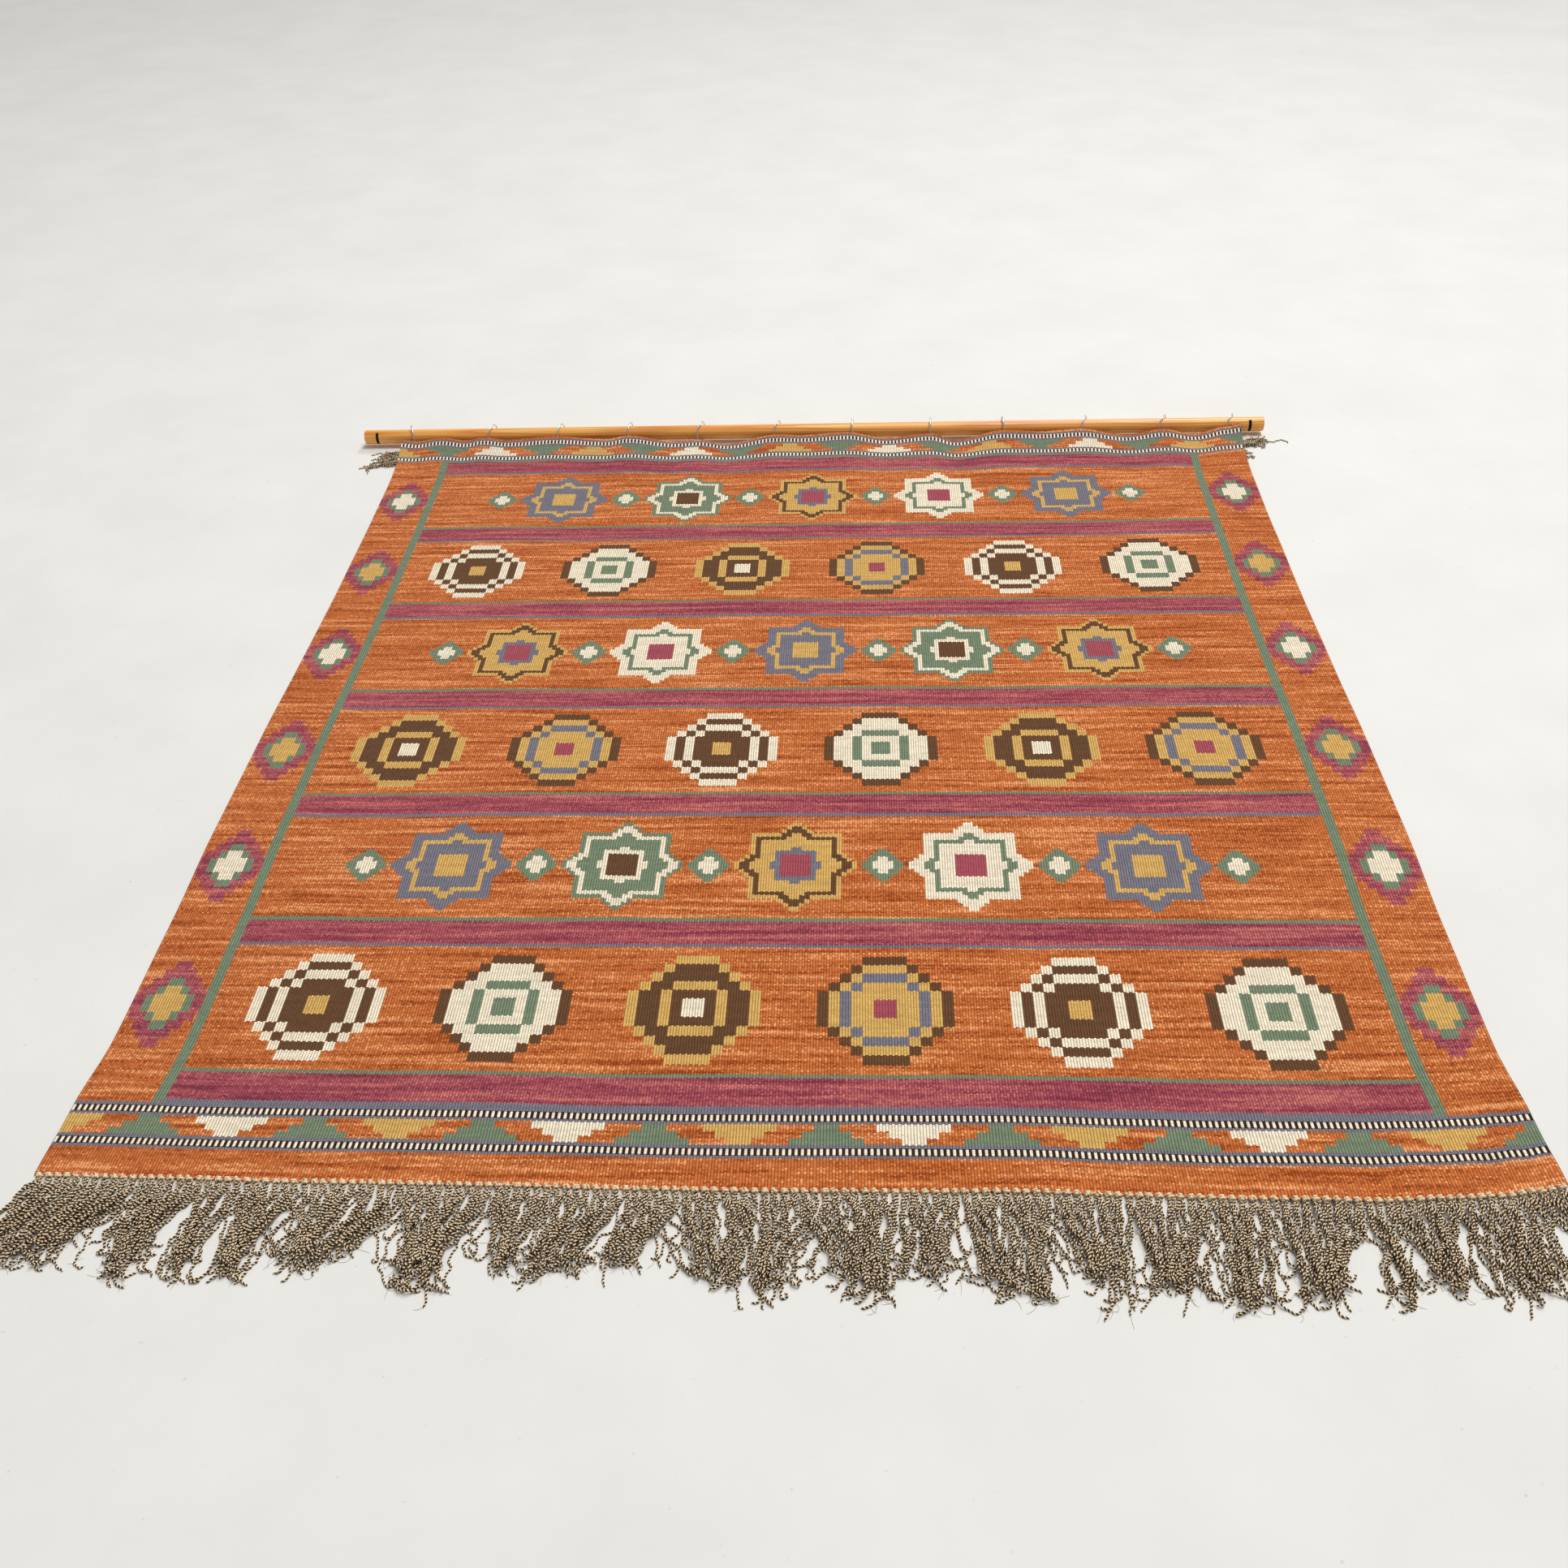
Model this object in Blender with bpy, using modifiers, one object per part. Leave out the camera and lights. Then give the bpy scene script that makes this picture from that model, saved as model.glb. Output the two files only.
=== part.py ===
"""A flatweave curtain with a knotted fringe, lying face up, hung by wire rings on a wooden rod.

Metres, +Z up. X runs along the rod, +Y from the fringe towards the rod, and the floor is z = 0.
Everything is first laid out from the middle of the cloth, and the whole is then centred on its own box.
"""
import math
import random

import bmesh
import bpy
from mathutils import Matrix, Vector

# Cloth
CLOTH_THICK = 0.0030
NEAR_EDGE_AT = -1.0345          # forward place of the near edge before its bow
TOP_EDGE_AT = 1.0267            # forward place of the top edge where a ring holds it up
BOW_FADES_OVER = 0.40           # how far the near edge's bow reaches into the cloth

# Rod
ROD_RADIUS = 0.0165
ROD_FROM, ROD_TO = -1.096, 1.057
ROD_FORWARD, ROD_HEIGHT = 1.050, 0.0218
ROD_SIDES = 28
ROD_EDGE_ROUND = 0.0012
ROUNDED_OVER = 60               # degrees: only the end edges are sharper than this
SLOT_WIDTH, SLOT_DEEP = 0.0065, 0.0085
CUTTER_SPARE = 0.010            # how far a slot's cutter stands out of the rod
SLOTS_AT = (-1.064, 1.024)

# Rings
WIRE_RADIUS = 0.0020
RING_INNER = 0.0200
RING_SLACK = 0.0008             # left between rod and ring before the ring is drawn to one side
RING_DRAWN = 0.60               # share of the play by which the rod sits forward in its ring
RING_STEPS, WIRE_SIDES = 18, 5

# Fringe and tufts
KNOT_PITCH = 0.0129
STRIP_HIGH, STRIP_DEEP = 0.0028, 0.0050
LOCK_ROOT, TUFT_ROOT = 0.0060, 0.0030    # a lock's width where it leaves its strip
PARTED = 0.0003                 # gap between pieces that meet
LOCK_GAP = 0.0006               # least clear space between two locks
FRINGE_REACH = 0.158
FRINGE_SHORTEST = 0.80          # shortest lock's share of the reach
CORNER_FAN = 0.085              # how far the outermost locks are drawn outwards
FAN_FROM = 0.78                 # share of the half width at which the splay starts
LIFT_FADES_OVER = 0.060         # how far out a lock lifted by a wave is down on the floor
BUNCH = (3, 8)                  # least and most knots whose tips draw together
BUNCH_SHIFT = 0.006             # how far a bunch may lean to one side
TIP_PITCH = 0.0040              # from tip to tip where a bunch is fully drawn together
LEAST_DRAWN = 0.40              # least share by which a tip is drawn to its bunch
SEED = 12

# Places across the cloth, -1 to 1, and how far its top edge sags there: 1 is the deepest sag
SCALLOPS = (
    # across, sag
    (-1.000, 0.17), (-0.962, 0.34), (-0.903, 0.00), (-0.842, 0.30), (-0.797, 0.00), (-0.742, 0.27),
    (-0.628, 0.03), (-0.500, 0.35), (-0.449, 0.05), (-0.333, 0.69), (-0.279, 0.55), (-0.211, 1.00),
    (-0.091, 0.15), (-0.033, 0.24), (0.074, 0.00), (0.169, 0.65), (0.272, 0.26), (0.334, 0.96),
    (0.445, 0.07), (0.538, 0.18), (0.625, 0.00), (0.735, 0.65), (0.822, 0.16), (0.889, 0.67),
    (0.972, -0.07), (1.000, -0.30),
)

# The rise towards the rod, row by row: height of the underside where a ring holds the cloth up, the share
# of it that a full sag loses, and how far a full sag lets the row slip back down the floor
RISE = (
    # back from top edge, height, lost in a sag, slip
    (0.000, 0.0280, 0.68, 0.0160), (0.020, 0.0205, 0.68, 0.0155), (0.048, 0.0125, 0.66, 0.0140),
    (0.074, 0.0080, 0.64, 0.0120), (0.110, 0.0050, 0.62, 0.0090), (0.161, 0.0026, 0.60, 0.0060),
    (0.231, 0.0006, 0.60, 0.0030), (0.330, 0.0000, 0.60, 0.0008), (0.450, 0.0000, 0.60, 0.0000),
)

# The near edge: where it runs, and the small waves that lift it
NEAR_EDGE = (
    # across, forward, lift
    (-1.00, -1.0271, 0.0000), (-0.80, -1.0300, 0.0012), (-0.62, -1.0325, 0.0000), (-0.38, -1.0340, 0.0014),
    (-0.20, -1.0360, 0.0000), (-0.03, -1.0372, 0.0010), (0.14, -1.0350, 0.0000), (0.31, -1.0332, 0.0014),
    (0.47, -1.0360, 0.0000), (0.60, -1.0390, 0.0010), (0.68, -1.0405, 0.0048), (0.76, -1.0400, 0.0018),
    (0.84, -1.0360, 0.0040), (0.91, -1.0300, 0.0010), (0.96, -1.0235, 0.0025), (1.00, -1.0170, 0.0052),
)
WAVES = (
    # in from near edge, share of the lift
    (0.000, 1.00), (0.030, 0.80), (0.075, 0.35), (0.130, 0.00),
)

# Half the cloth's width along its length
SELVEDGE = (
    # forward, half width
    (-1.035, 0.9985), (-0.930, 0.9930), (-0.800, 0.9825), (-0.570, 0.9845), (-0.350, 0.9905),
    (-0.100, 0.9910), (0.120, 0.9880), (0.380, 0.9868), (0.570, 0.9885), (0.830, 0.9920), (1.040, 1.0000),
)

# Rings along the rod, and how far each is turned about the upright
RINGS = (
    # across, turn in degrees
    (-0.979, 20), (-0.782, -17), (-0.615, -13), (-0.446, -8), (-0.275, -20), (-0.091, -19),
    (0.089, -3), (0.275, -5), (0.446, 4), (0.638, -21), (0.822, -28), (0.979, -28),
)

# One fringe lock from its knot to its tip: out from the strip, width, height, and share of its drift
FRINGE_LOCK = (
    # out, width, height, drift
    (0.0080, 0.0092, 0.0062, 0.00), (0.0140, 0.0084, 0.0058, 0.02), (0.0180, 0.0050, 0.0036, 0.05),
    (0.0600, 0.0064, 0.0042, 0.45), (0.1050, 0.0058, 0.0038, 0.85), (FRINGE_REACH, 0.0024, 0.0020, 1.00),
)
TUFT_LOCK = (
    # out, width, height, drift
    (0.0120, 0.0034, 0.0040, 0.10), (0.0400, 0.0044, 0.0062, 0.55), (0.0750, 0.0036, 0.0050, 0.90),
    (0.1180, 0.0020, 0.0020, 1.00),
)

# The turned-under far fringe, where it shows past each far corner
LEFT_TUFT = (
    # forward, forward at tip, reach
    (0.950, 0.932, 0.118), (0.955, 0.948, 0.062), (0.960, 0.958, 0.084), (0.965, 0.968, 0.070),
    (0.970, 0.978, 0.090), (0.975, 0.990, 0.066), (0.980, 1.002, 0.082),
)
RIGHT_TUFT = (
    # forward, forward at tip, reach
    (0.931, 0.930, 0.026), (0.936, 0.938, 0.032), (0.941, 0.946, 0.024), (0.966, 0.984, 0.070),
    (0.971, 0.994, 0.100), (0.976, 1.003, 0.112), (0.981, 1.013, 0.094),
)
TUFT_ROOT_AT = 0.985            # how far from the cloth's middle line a tuft's backing lies
TUFT_STRIP_HIGH = 0.0022
TUFT_MARGIN = 0.0040            # backing past the first and last lock

# Finish of each piece: colour, roughness, metallic
WOOL = (0.50, 0.16, 0.055, 1.0), 0.90, 0.0
YARN = (0.24, 0.17, 0.12, 1.0), 0.95, 0.0
PINE = (0.70, 0.38, 0.14, 1.0), 0.45, 0.0
STEEL = (0.56, 0.54, 0.50, 1.0), 0.30, 1.0


def eased(table, place, column):
    """Reads a column of a table at a place, easing from row to row."""
    if place <= table[0][0]:
        return table[0][column]
    for before, after in zip(table, table[1:]):
        if place <= after[0]:
            share = (place - before[0]) / (after[0] - before[0])
            share = 0.5 - 0.5 * math.cos(math.pi * share)
            return before[column] + (after[column] - before[column]) * share
    return table[-1][column]


def with_middles(places):
    """Adds the middle of each step to a list of places."""
    middles = [(a + b) / 2 for a, b in zip(places, places[1:])]
    return sorted(places + middles)


def far_row(index):
    """Forward place of one row of the rise, where a ring holds the cloth."""
    forward = TOP_EDGE_AT
    for lower, upper in zip(RISE[:index], RISE[1:index + 1]):
        along = upper[0] - lower[0]
        forward -= math.sqrt(along ** 2 - (upper[1] - lower[1]) ** 2)
    return forward


def cloth_rows():
    """The cloth's rows from the near edge to the top: forward place, wave share, and row of the rise."""
    rows = [(NEAR_EDGE_AT + inward, share, None) for inward, share in WAVES]
    start_of_rise = far_row(len(RISE) - 1)
    for forward, _ in SELVEDGE:
        if rows[-1][0] + 0.03 < forward < start_of_rise - 0.03:
            rows.append((forward, 0.0, None))
    for index in reversed(range(len(RISE))):
        rows.append((far_row(index), 0.0, index))
    return rows


def cloth_point(across, row):
    """A point of the cloth's underside."""
    forward, wave, rise = row
    height = eased(NEAR_EDGE, across, 2) * wave
    half_width = eased(SELVEDGE, forward, 1)
    if rise is not None:
        _, high, lost, slip = RISE[rise]
        sag = eased(SCALLOPS, across, 1)
        height += high * (1 - lost * sag)
        forward -= slip * sag
    inward = (forward - NEAR_EDGE_AT) / BOW_FADES_OVER
    bow = (eased(NEAR_EDGE, across, 1) - NEAR_EDGE_AT) * max(0.0, 1 - inward)
    return Vector((across * half_width, forward + bow, height))


def cloth_columns():
    """Places across the cloth, -1 to 1, at which it is shaped."""
    return with_middles([place for place, _ in SCALLOPS])


def near_edge_point(across):
    """A point of the near edge, which runs straight from column to column."""
    near_row = cloth_rows()[0]
    columns = cloth_columns()
    for left, right in zip(columns, columns[1:]):
        if across <= right:
            share = (across - left) / (right - left)
            return cloth_point(left, near_row).lerp(cloth_point(right, near_row), share)
    return cloth_point(columns[-1], near_row)


def finish(obj, look):
    """Gives a piece its own material."""
    colour, roughness, metallic = look
    material = bpy.data.materials.new(obj.name)
    material.use_nodes = True
    shader = material.node_tree.nodes["Principled BSDF"]
    shader.inputs["Base Color"].default_value = colour
    shader.inputs["Roughness"].default_value = roughness
    shader.inputs["Metallic"].default_value = metallic
    obj.data.materials.clear()
    obj.data.materials.append(material)


def new_object(name, bm, collection):
    """Makes an object of a bmesh."""
    mesh = bpy.data.meshes.new(name)
    bm.to_mesh(mesh)
    bm.free()
    obj = bpy.data.objects.new(name, mesh)
    collection.objects.link(obj)
    return obj


def woven_panel(collection):
    """The cloth: a grid on its underside, thickened upwards."""
    columns = cloth_columns()
    rows = cloth_rows()
    bm = bmesh.new()
    bmesh.ops.create_grid(bm, x_segments=len(columns) - 1, y_segments=len(rows) - 1, size=1.0)
    for vertex in bm.verts:
        column = round((vertex.co.x + 1) / 2 * (len(columns) - 1))
        row = round((vertex.co.y + 1) / 2 * (len(rows) - 1))
        vertex.co = cloth_point(columns[column], rows[row])
    panel = new_object("woven_panel", bm, collection)
    panel.data.shade_smooth()
    thicken = panel.modifiers.new("thickness", "SOLIDIFY")
    thicken.thickness = CLOTH_THICK
    thicken.offset = 1.0
    finish(panel, WOOL)
    return panel


def space_out(places, least):
    """Moves sorted places apart until each is at least one step from the next."""
    onward = list(places)
    for index in range(1, len(onward)):
        onward[index] = max(onward[index], onward[index - 1] + least)
    backward = list(places)
    for index in reversed(range(len(backward) - 1)):
        backward[index] = min(backward[index], backward[index + 1] - least)
    return [(a + b) / 2 for a, b in zip(onward, backward)]


def lock_courses(roots, tips, levels):
    """For each level of the locks, where each one runs, without any two touching."""
    courses = []
    for _, width, _, drift in levels:
        wanted = [root + (tip - root) * drift for root, tip in zip(roots, tips)]
        courses.append(space_out(wanted, width + LOCK_GAP))
    return courses


def row_of_locks(name, roots, tips, reaches, levels, strip, place, collection):
    """A three-sided backing strip with a three-sided lock growing from each root.

    place turns (along the strip, out from it, height) into a point.
    """
    start, end, strip_high, root_width = strip
    courses = lock_courses(roots, tips, levels)
    bm = bmesh.new()

    def point(along, out, height):
        return bm.verts.new(place(along, out, height))

    def section(along):
        return point(along, STRIP_DEEP, 0.0), point(along, 0.0, 0.0), point(along, STRIP_DEEP / 2, strip_high)

    front, behind, ridge = section(start)
    bm.faces.new((front, behind, ridge))
    for index, root in enumerate(roots):
        left = point(root - root_width / 2, STRIP_DEEP, 0.0)
        right = point(root + root_width / 2, STRIP_DEEP, 0.0)
        next_behind = point(root, 0.0, 0.0)
        next_ridge = point(root, STRIP_DEEP / 2, strip_high)
        bm.faces.new((front, left, next_ridge, ridge))
        bm.faces.new((ridge, next_ridge, next_behind, behind))
        bm.faces.new((behind, next_behind, left, front))
        bm.faces.new((next_behind, right, left))
        ring = (left, right, next_ridge)
        _, tip_width, tip_height, _ = levels[-1]
        before_out, before_along = STRIP_DEEP, root
        for level, (out, width, height, _) in enumerate(levels):
            along = courses[level][index]
            is_tip = out >= reaches[index]
            if is_tip:
                # a short lock stops on its own course, so that neighbours stay apart
                share = (reaches[index] - before_out) / (out - before_out)
                along = before_along + (along - before_along) * share
                out, width, height = reaches[index], tip_width, tip_height
            new_ring = (point(along - width / 2, out, 0.0), point(along + width / 2, out, 0.0),
                        point(along, out, height))
            for corner in range(3):
                after = (corner + 1) % 3
                bm.faces.new((ring[corner], ring[after], new_ring[after], new_ring[corner]))
            ring = new_ring
            before_out, before_along = out, along
            if is_tip:
                break
        bm.faces.new(ring)
        front, behind, ridge = right, next_behind, next_ridge
    last_front, last_behind, last_ridge = section(end)
    bm.faces.new((front, last_front, last_ridge, ridge))
    bm.faces.new((ridge, last_ridge, last_behind, behind))
    bm.faces.new((behind, last_behind, last_front, front))
    bm.faces.new((last_front, last_ridge, last_behind))
    bmesh.ops.triangulate(bm, faces=bm.faces)
    bmesh.ops.recalc_face_normals(bm, faces=bm.faces)
    obj = new_object(name, bm, collection)
    finish(obj, YARN)
    return obj


def clumped_tips(roots, chance):
    """Tips of the fringe: neighbours draw together into pointed bunches, and the corners fan out."""
    tips = []
    while len(tips) < len(roots):
        size = min(chance.randint(*BUNCH), len(roots) - len(tips))
        bunch = roots[len(tips):len(tips) + size]
        middle = sum(bunch) / size + chance.uniform(-BUNCH_SHIFT, BUNCH_SHIFT)
        for index, root in enumerate(bunch):
            drawn = middle + (index - (size - 1) / 2) * TIP_PITCH
            tips.append(root + (drawn - root) * chance.uniform(LEAST_DRAWN, 1.0))
    spread = []
    for root, tip in zip(roots, tips):
        outward = max(0.0, abs(root) - FAN_FROM) / (1 - FAN_FROM)
        spread.append(tip + math.copysign(CORNER_FAN * outward ** 2, root))
    return spread


def fringe(collection):
    """The knotted warp ends along the near edge."""
    chance = random.Random(SEED)
    half_width = SELVEDGE[0][1]
    count = int(2 * half_width / KNOT_PITCH)
    first = -KNOT_PITCH * (count - 1) / 2
    roots = [first + KNOT_PITCH * index for index in range(count)]
    tips = clumped_tips(roots, chance)
    reaches = [FRINGE_REACH * chance.uniform(FRINGE_SHORTEST, 1.0) for _ in roots]

    def place(along, out, height):
        across = max(-1.0, min(1.0, along / half_width))
        edge = near_edge_point(across)
        lift = edge.z * max(0.0, 1 - out / LIFT_FADES_OVER)
        return Vector((along, edge.y - PARTED - out, lift + height))

    strip = (-half_width, half_width, STRIP_HIGH, LOCK_ROOT)
    return row_of_locks("fringe", roots, tips, reaches, FRINGE_LOCK, strip, place, collection)


def corner_tuft(name, side, table, collection):
    """Ends of the turned-under far fringe that poke out past the selvedge, from a backing under the cloth."""
    roots = [row[0] for row in table]
    tips = [row[1] for row in table]
    reaches = [row[2] for row in table]

    def place(along, out, height):
        return Vector((side * (TUFT_ROOT_AT + out), along, height))

    strip = (roots[0] - TUFT_MARGIN, roots[-1] + TUFT_MARGIN, TUFT_STRIP_HIGH, TUFT_ROOT)
    return row_of_locks(name, roots, tips, reaches, TUFT_LOCK, strip, place, collection)


def rod(collection, cutters):
    """The round wooden rod with a sawn slot across its front near each end."""
    length = ROD_TO - ROD_FROM
    middle = ((ROD_FROM + ROD_TO) / 2, ROD_FORWARD, ROD_HEIGHT)
    bm = bmesh.new()
    bmesh.ops.create_cone(bm, cap_ends=True, segments=ROD_SIDES, radius1=ROD_RADIUS, radius2=ROD_RADIUS,
                          depth=length, matrix=Matrix.Rotation(math.pi / 2, 4, "Y"))
    pole = new_object("rod", bm, collection)
    pole.location = middle
    rounded = pole.modifiers.new("round_ends", "BEVEL")
    rounded.width = ROD_EDGE_ROUND
    rounded.segments = 1
    rounded.limit_method = "ANGLE"
    rounded.angle_limit = math.radians(ROUNDED_OVER)
    for index, across in enumerate(SLOTS_AT):
        bm = bmesh.new()
        bmesh.ops.create_cube(bm, size=1.0)
        cutter = new_object(f"slot_cutter_{index + 1}", bm, cutters)
        cutter.scale = (SLOT_WIDTH, SLOT_DEEP + CUTTER_SPARE, 2 * ROD_RADIUS + CUTTER_SPARE)
        cutter.location = (across, ROD_FORWARD - ROD_RADIUS + (SLOT_DEEP - CUTTER_SPARE) / 2, ROD_HEIGHT)
        cutter.hide_render = True
        cutter.display_type = "WIRE"
        cut = pole.modifiers.new(f"slot_{index + 1}", "BOOLEAN")
        cut.operation = "DIFFERENCE"
        cut.solver = "EXACT"
        cut.object = cutter
    finish(pole, PINE)
    return pole


def rings(collection):
    """The wire rings around the rod, each standing on the floor behind the cloth's top edge."""
    middle_radius = RING_INNER + WIRE_RADIUS
    bpy.ops.mesh.primitive_torus_add(major_radius=middle_radius, minor_radius=WIRE_RADIUS,
                                     major_segments=RING_STEPS, minor_segments=WIRE_SIDES)
    pattern = bpy.context.object
    mesh = pattern.data
    bpy.data.objects.remove(pattern)
    mesh.shade_smooth()
    made = []
    for index, (across, turn) in enumerate(RINGS):
        ring = bpy.data.objects.new(f"ring_{index + 1:02d}", mesh.copy())
        collection.objects.link(ring)
        play = max(0.0, RING_INNER * math.cos(math.radians(turn)) - ROD_RADIUS - RING_SLACK)
        ring.location = (across, ROD_FORWARD + play * RING_DRAWN, middle_radius + WIRE_RADIUS)
        ring.rotation_euler = (0.0, math.pi / 2, math.radians(turn))
        finish(ring, STEEL)
        made.append(ring)
    return made


def centre_on_floor(pieces, guides, collection):
    """Parents all to one empty and moves that, so that the origin is under the middle of the pieces' box."""
    bpy.context.view_layer.update()
    graph = bpy.context.evaluated_depsgraph_get()
    corners = []
    for piece in pieces:
        shown = piece.evaluated_get(graph)
        corners += [piece.matrix_world @ vertex.co for vertex in shown.data.vertices]
    low = Vector([min(corner[axis] for corner in corners) for axis in range(3)])
    high = Vector([max(corner[axis] for corner in corners) for axis in range(3)])
    base = bpy.data.objects.new("base", None)
    collection.objects.link(base)
    for obj in pieces + guides:
        obj.parent = base
    base.location = (-(low.x + high.x) / 2, -(low.y + high.y) / 2, -low.z)
    bpy.context.view_layer.update()


def main():
    for obj in list(bpy.data.objects):
        bpy.data.objects.remove(obj, do_unlink=True)
    curtain = bpy.data.collections.new("flatweave_curtain")
    cutters = bpy.data.collections.new("cutters")
    bpy.context.scene.collection.children.link(curtain)
    bpy.context.scene.collection.children.link(cutters)
    pieces = [
        woven_panel(curtain),
        fringe(curtain),
        corner_tuft("corner_tuft_left", -1, LEFT_TUFT, curtain),
        corner_tuft("corner_tuft_right", 1, RIGHT_TUFT, curtain),
        rod(curtain, cutters),
    ]
    pieces += rings(curtain)
    centre_on_floor(pieces, list(cutters.objects), curtain)


main()
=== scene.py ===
# Flatweave curtain with a knotted fringe, laid face up on a pale floor, its top edge ringed to a pine rod
import math
import random

import bpy
import numpy as np
from mathutils import Matrix, Vector


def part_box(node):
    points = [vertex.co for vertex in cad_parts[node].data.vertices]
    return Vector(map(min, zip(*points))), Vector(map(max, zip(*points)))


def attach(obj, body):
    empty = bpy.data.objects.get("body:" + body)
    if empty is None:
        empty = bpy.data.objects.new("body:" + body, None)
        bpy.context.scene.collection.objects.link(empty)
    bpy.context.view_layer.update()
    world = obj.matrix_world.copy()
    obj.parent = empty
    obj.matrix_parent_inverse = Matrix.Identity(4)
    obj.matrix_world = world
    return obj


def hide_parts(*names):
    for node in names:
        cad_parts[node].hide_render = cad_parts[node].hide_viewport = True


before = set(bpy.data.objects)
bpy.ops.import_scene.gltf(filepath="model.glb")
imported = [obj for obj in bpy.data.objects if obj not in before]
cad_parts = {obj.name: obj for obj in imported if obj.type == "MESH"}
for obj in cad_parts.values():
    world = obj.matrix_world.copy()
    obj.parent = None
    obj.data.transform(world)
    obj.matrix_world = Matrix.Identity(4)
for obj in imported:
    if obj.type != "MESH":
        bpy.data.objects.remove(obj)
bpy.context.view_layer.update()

# The cloth is laid out from its own middle, and this moves it to where the frame has it
rodLow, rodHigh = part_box("rod")
shiftX = rodLow.x + 1.096
shiftY = (rodLow.y + rodHigh.y) / 2 - 1.050
bpy.context.scene.view_settings.view_transform = "Standard"


def eased(table, places, column):
    # reads a table at many places, easing from row to row
    places = np.clip(np.asarray(places, float), table[0][0], table[-1][0])
    at = np.array([row[0] for row in table])
    values = np.array([row[column] for row in table])
    index = np.clip(np.searchsorted(at, places, side="right") - 1, 0, len(at) - 2)
    share = (places - at[index]) / (at[index + 1] - at[index])
    share = 0.5 - 0.5 * np.cos(math.pi * share)
    return values[index] + (values[index + 1] - values[index]) * share


def flowing(table, places, column):
    # reads a table along a smooth curve through its rows
    at = np.array([row[0] for row in table])
    values = np.array([row[column] for row in table])
    step = np.diff(at)
    slope = np.diff(values) / step
    lean = np.zeros(len(at))
    for i in range(1, len(at) - 1):
        if slope[i - 1] * slope[i] > 0:
            lean[i] = 2 * slope[i - 1] * slope[i] / (slope[i - 1] + slope[i])
    lean[0], lean[-1] = slope[0], slope[-1]
    places = np.clip(np.asarray(places, float), at[0], at[-1])
    index = np.clip(np.searchsorted(at, places, side="right") - 1, 0, len(at) - 2)
    t = (places - at[index]) / step[index]
    return ((2 * t**3 - 3 * t**2 + 1) * values[index] + (t**3 - 2 * t**2 + t) * step[index] * lean[index]
            + (3 * t**2 - 2 * t**3) * values[index + 1] + (t**3 - t**2) * step[index] * lean[index + 1])


def startAfresh():
    # nothing selected, object mode
    if bpy.context.mode != "OBJECT":
        bpy.ops.object.mode_set(mode="OBJECT")
    bpy.ops.object.select_all(action="DESELECT")


def only(obj):
    startAfresh()
    obj.select_set(True)
    bpy.context.view_layer.objects.active = obj


def settle(obj):
    # the object goes to the origin, and its place into its mesh
    only(obj)
    bpy.ops.object.transform_apply(location=True, rotation=True, scale=True)


def applyAll(obj):
    only(obj)
    for modifier in list(obj.modifiers):
        bpy.ops.object.modifier_apply(modifier=modifier.name)


def dress(obj, material):
    obj.data.materials.clear()
    obj.data.materials.append(material)
    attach(obj, "root")


def tone(red, green, blue):
    # a colour as a picker shows it, turned into the light values that nodes take
    def light(value):
        value /= 255
        return value / 12.92 if value <= 0.04045 else ((value + 0.055) / 1.055) ** 2.4
    return light(red), light(green), light(blue), 1.0


def newMaterial(name, **sockets):
    material = bpy.data.materials.new(name)
    material.use_nodes = True
    shader = material.node_tree.nodes["Principled BSDF"]
    for socket, value in sockets.items():
        shader.inputs[socket.replace("_", " ")].default_value = value
    return material, material.node_tree, shader


def addNode(tree, kind, inputs=None, **settings):
    node = tree.nodes.new(kind)
    for name, value in settings.items():
        setattr(node, name, value)
    for name, value in (inputs or {}).items():
        plug(tree, value, node.inputs[name])
    return node


def plug(tree, value, socket):
    if isinstance(value, bpy.types.NodeSocket):
        tree.links.new(value, socket)
    else:
        socket.default_value = value


def sums(tree):
    # gives a short way to write math nodes in this tree
    def work(operation, *values):
        node = tree.nodes.new("ShaderNodeMath")
        node.operation = operation
        for index, value in enumerate(values):
            plug(tree, value, node.inputs[index])
        return node.outputs[0]
    return work


def blendColours(tree, share, first, second, kind="MIX"):
    node = addNode(tree, "ShaderNodeMix", data_type="RGBA", blend_type=kind)
    plug(tree, share, node.inputs[0])
    plug(tree, first, node.inputs[6])
    plug(tree, second, node.inputs[7])
    return node.outputs[2]


def ramp(tree, place, stops, kind="LINEAR"):
    node = addNode(tree, "ShaderNodeValToRGB", {"Fac": place})
    node.color_ramp.interpolation = kind
    for index, (at, colour) in enumerate(stops):
        element = node.color_ramp.elements[index] if index < 2 else node.color_ramp.elements.new(at)
        element.position = at
        element.color = colour
    return node.outputs["Color"]


def stepRamp(tree, place, colours):
    # equal steps of plain colour, one after the other
    stops = []
    for index, colour in enumerate(colours):
        if not stops or stops[-1][1] != colour:
            stops.append((index / len(colours), colour))
    return ramp(tree, place, stops, "CONSTANT")


def noise(tree, vector, scale=1.0, detail=2.0, roughness=0.5, **settings):
    node = addNode(tree, "ShaderNodeTexNoise",
                   {"Vector": vector, "Scale": scale, "Detail": detail, "Roughness": roughness}, **settings)
    return node.outputs["Fac"]


def stretched(tree, x, y, z=0.0):
    node = addNode(tree, "ShaderNodeCombineXYZ", {"X": x, "Y": y, "Z": z})
    return node.outputs[0]


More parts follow.
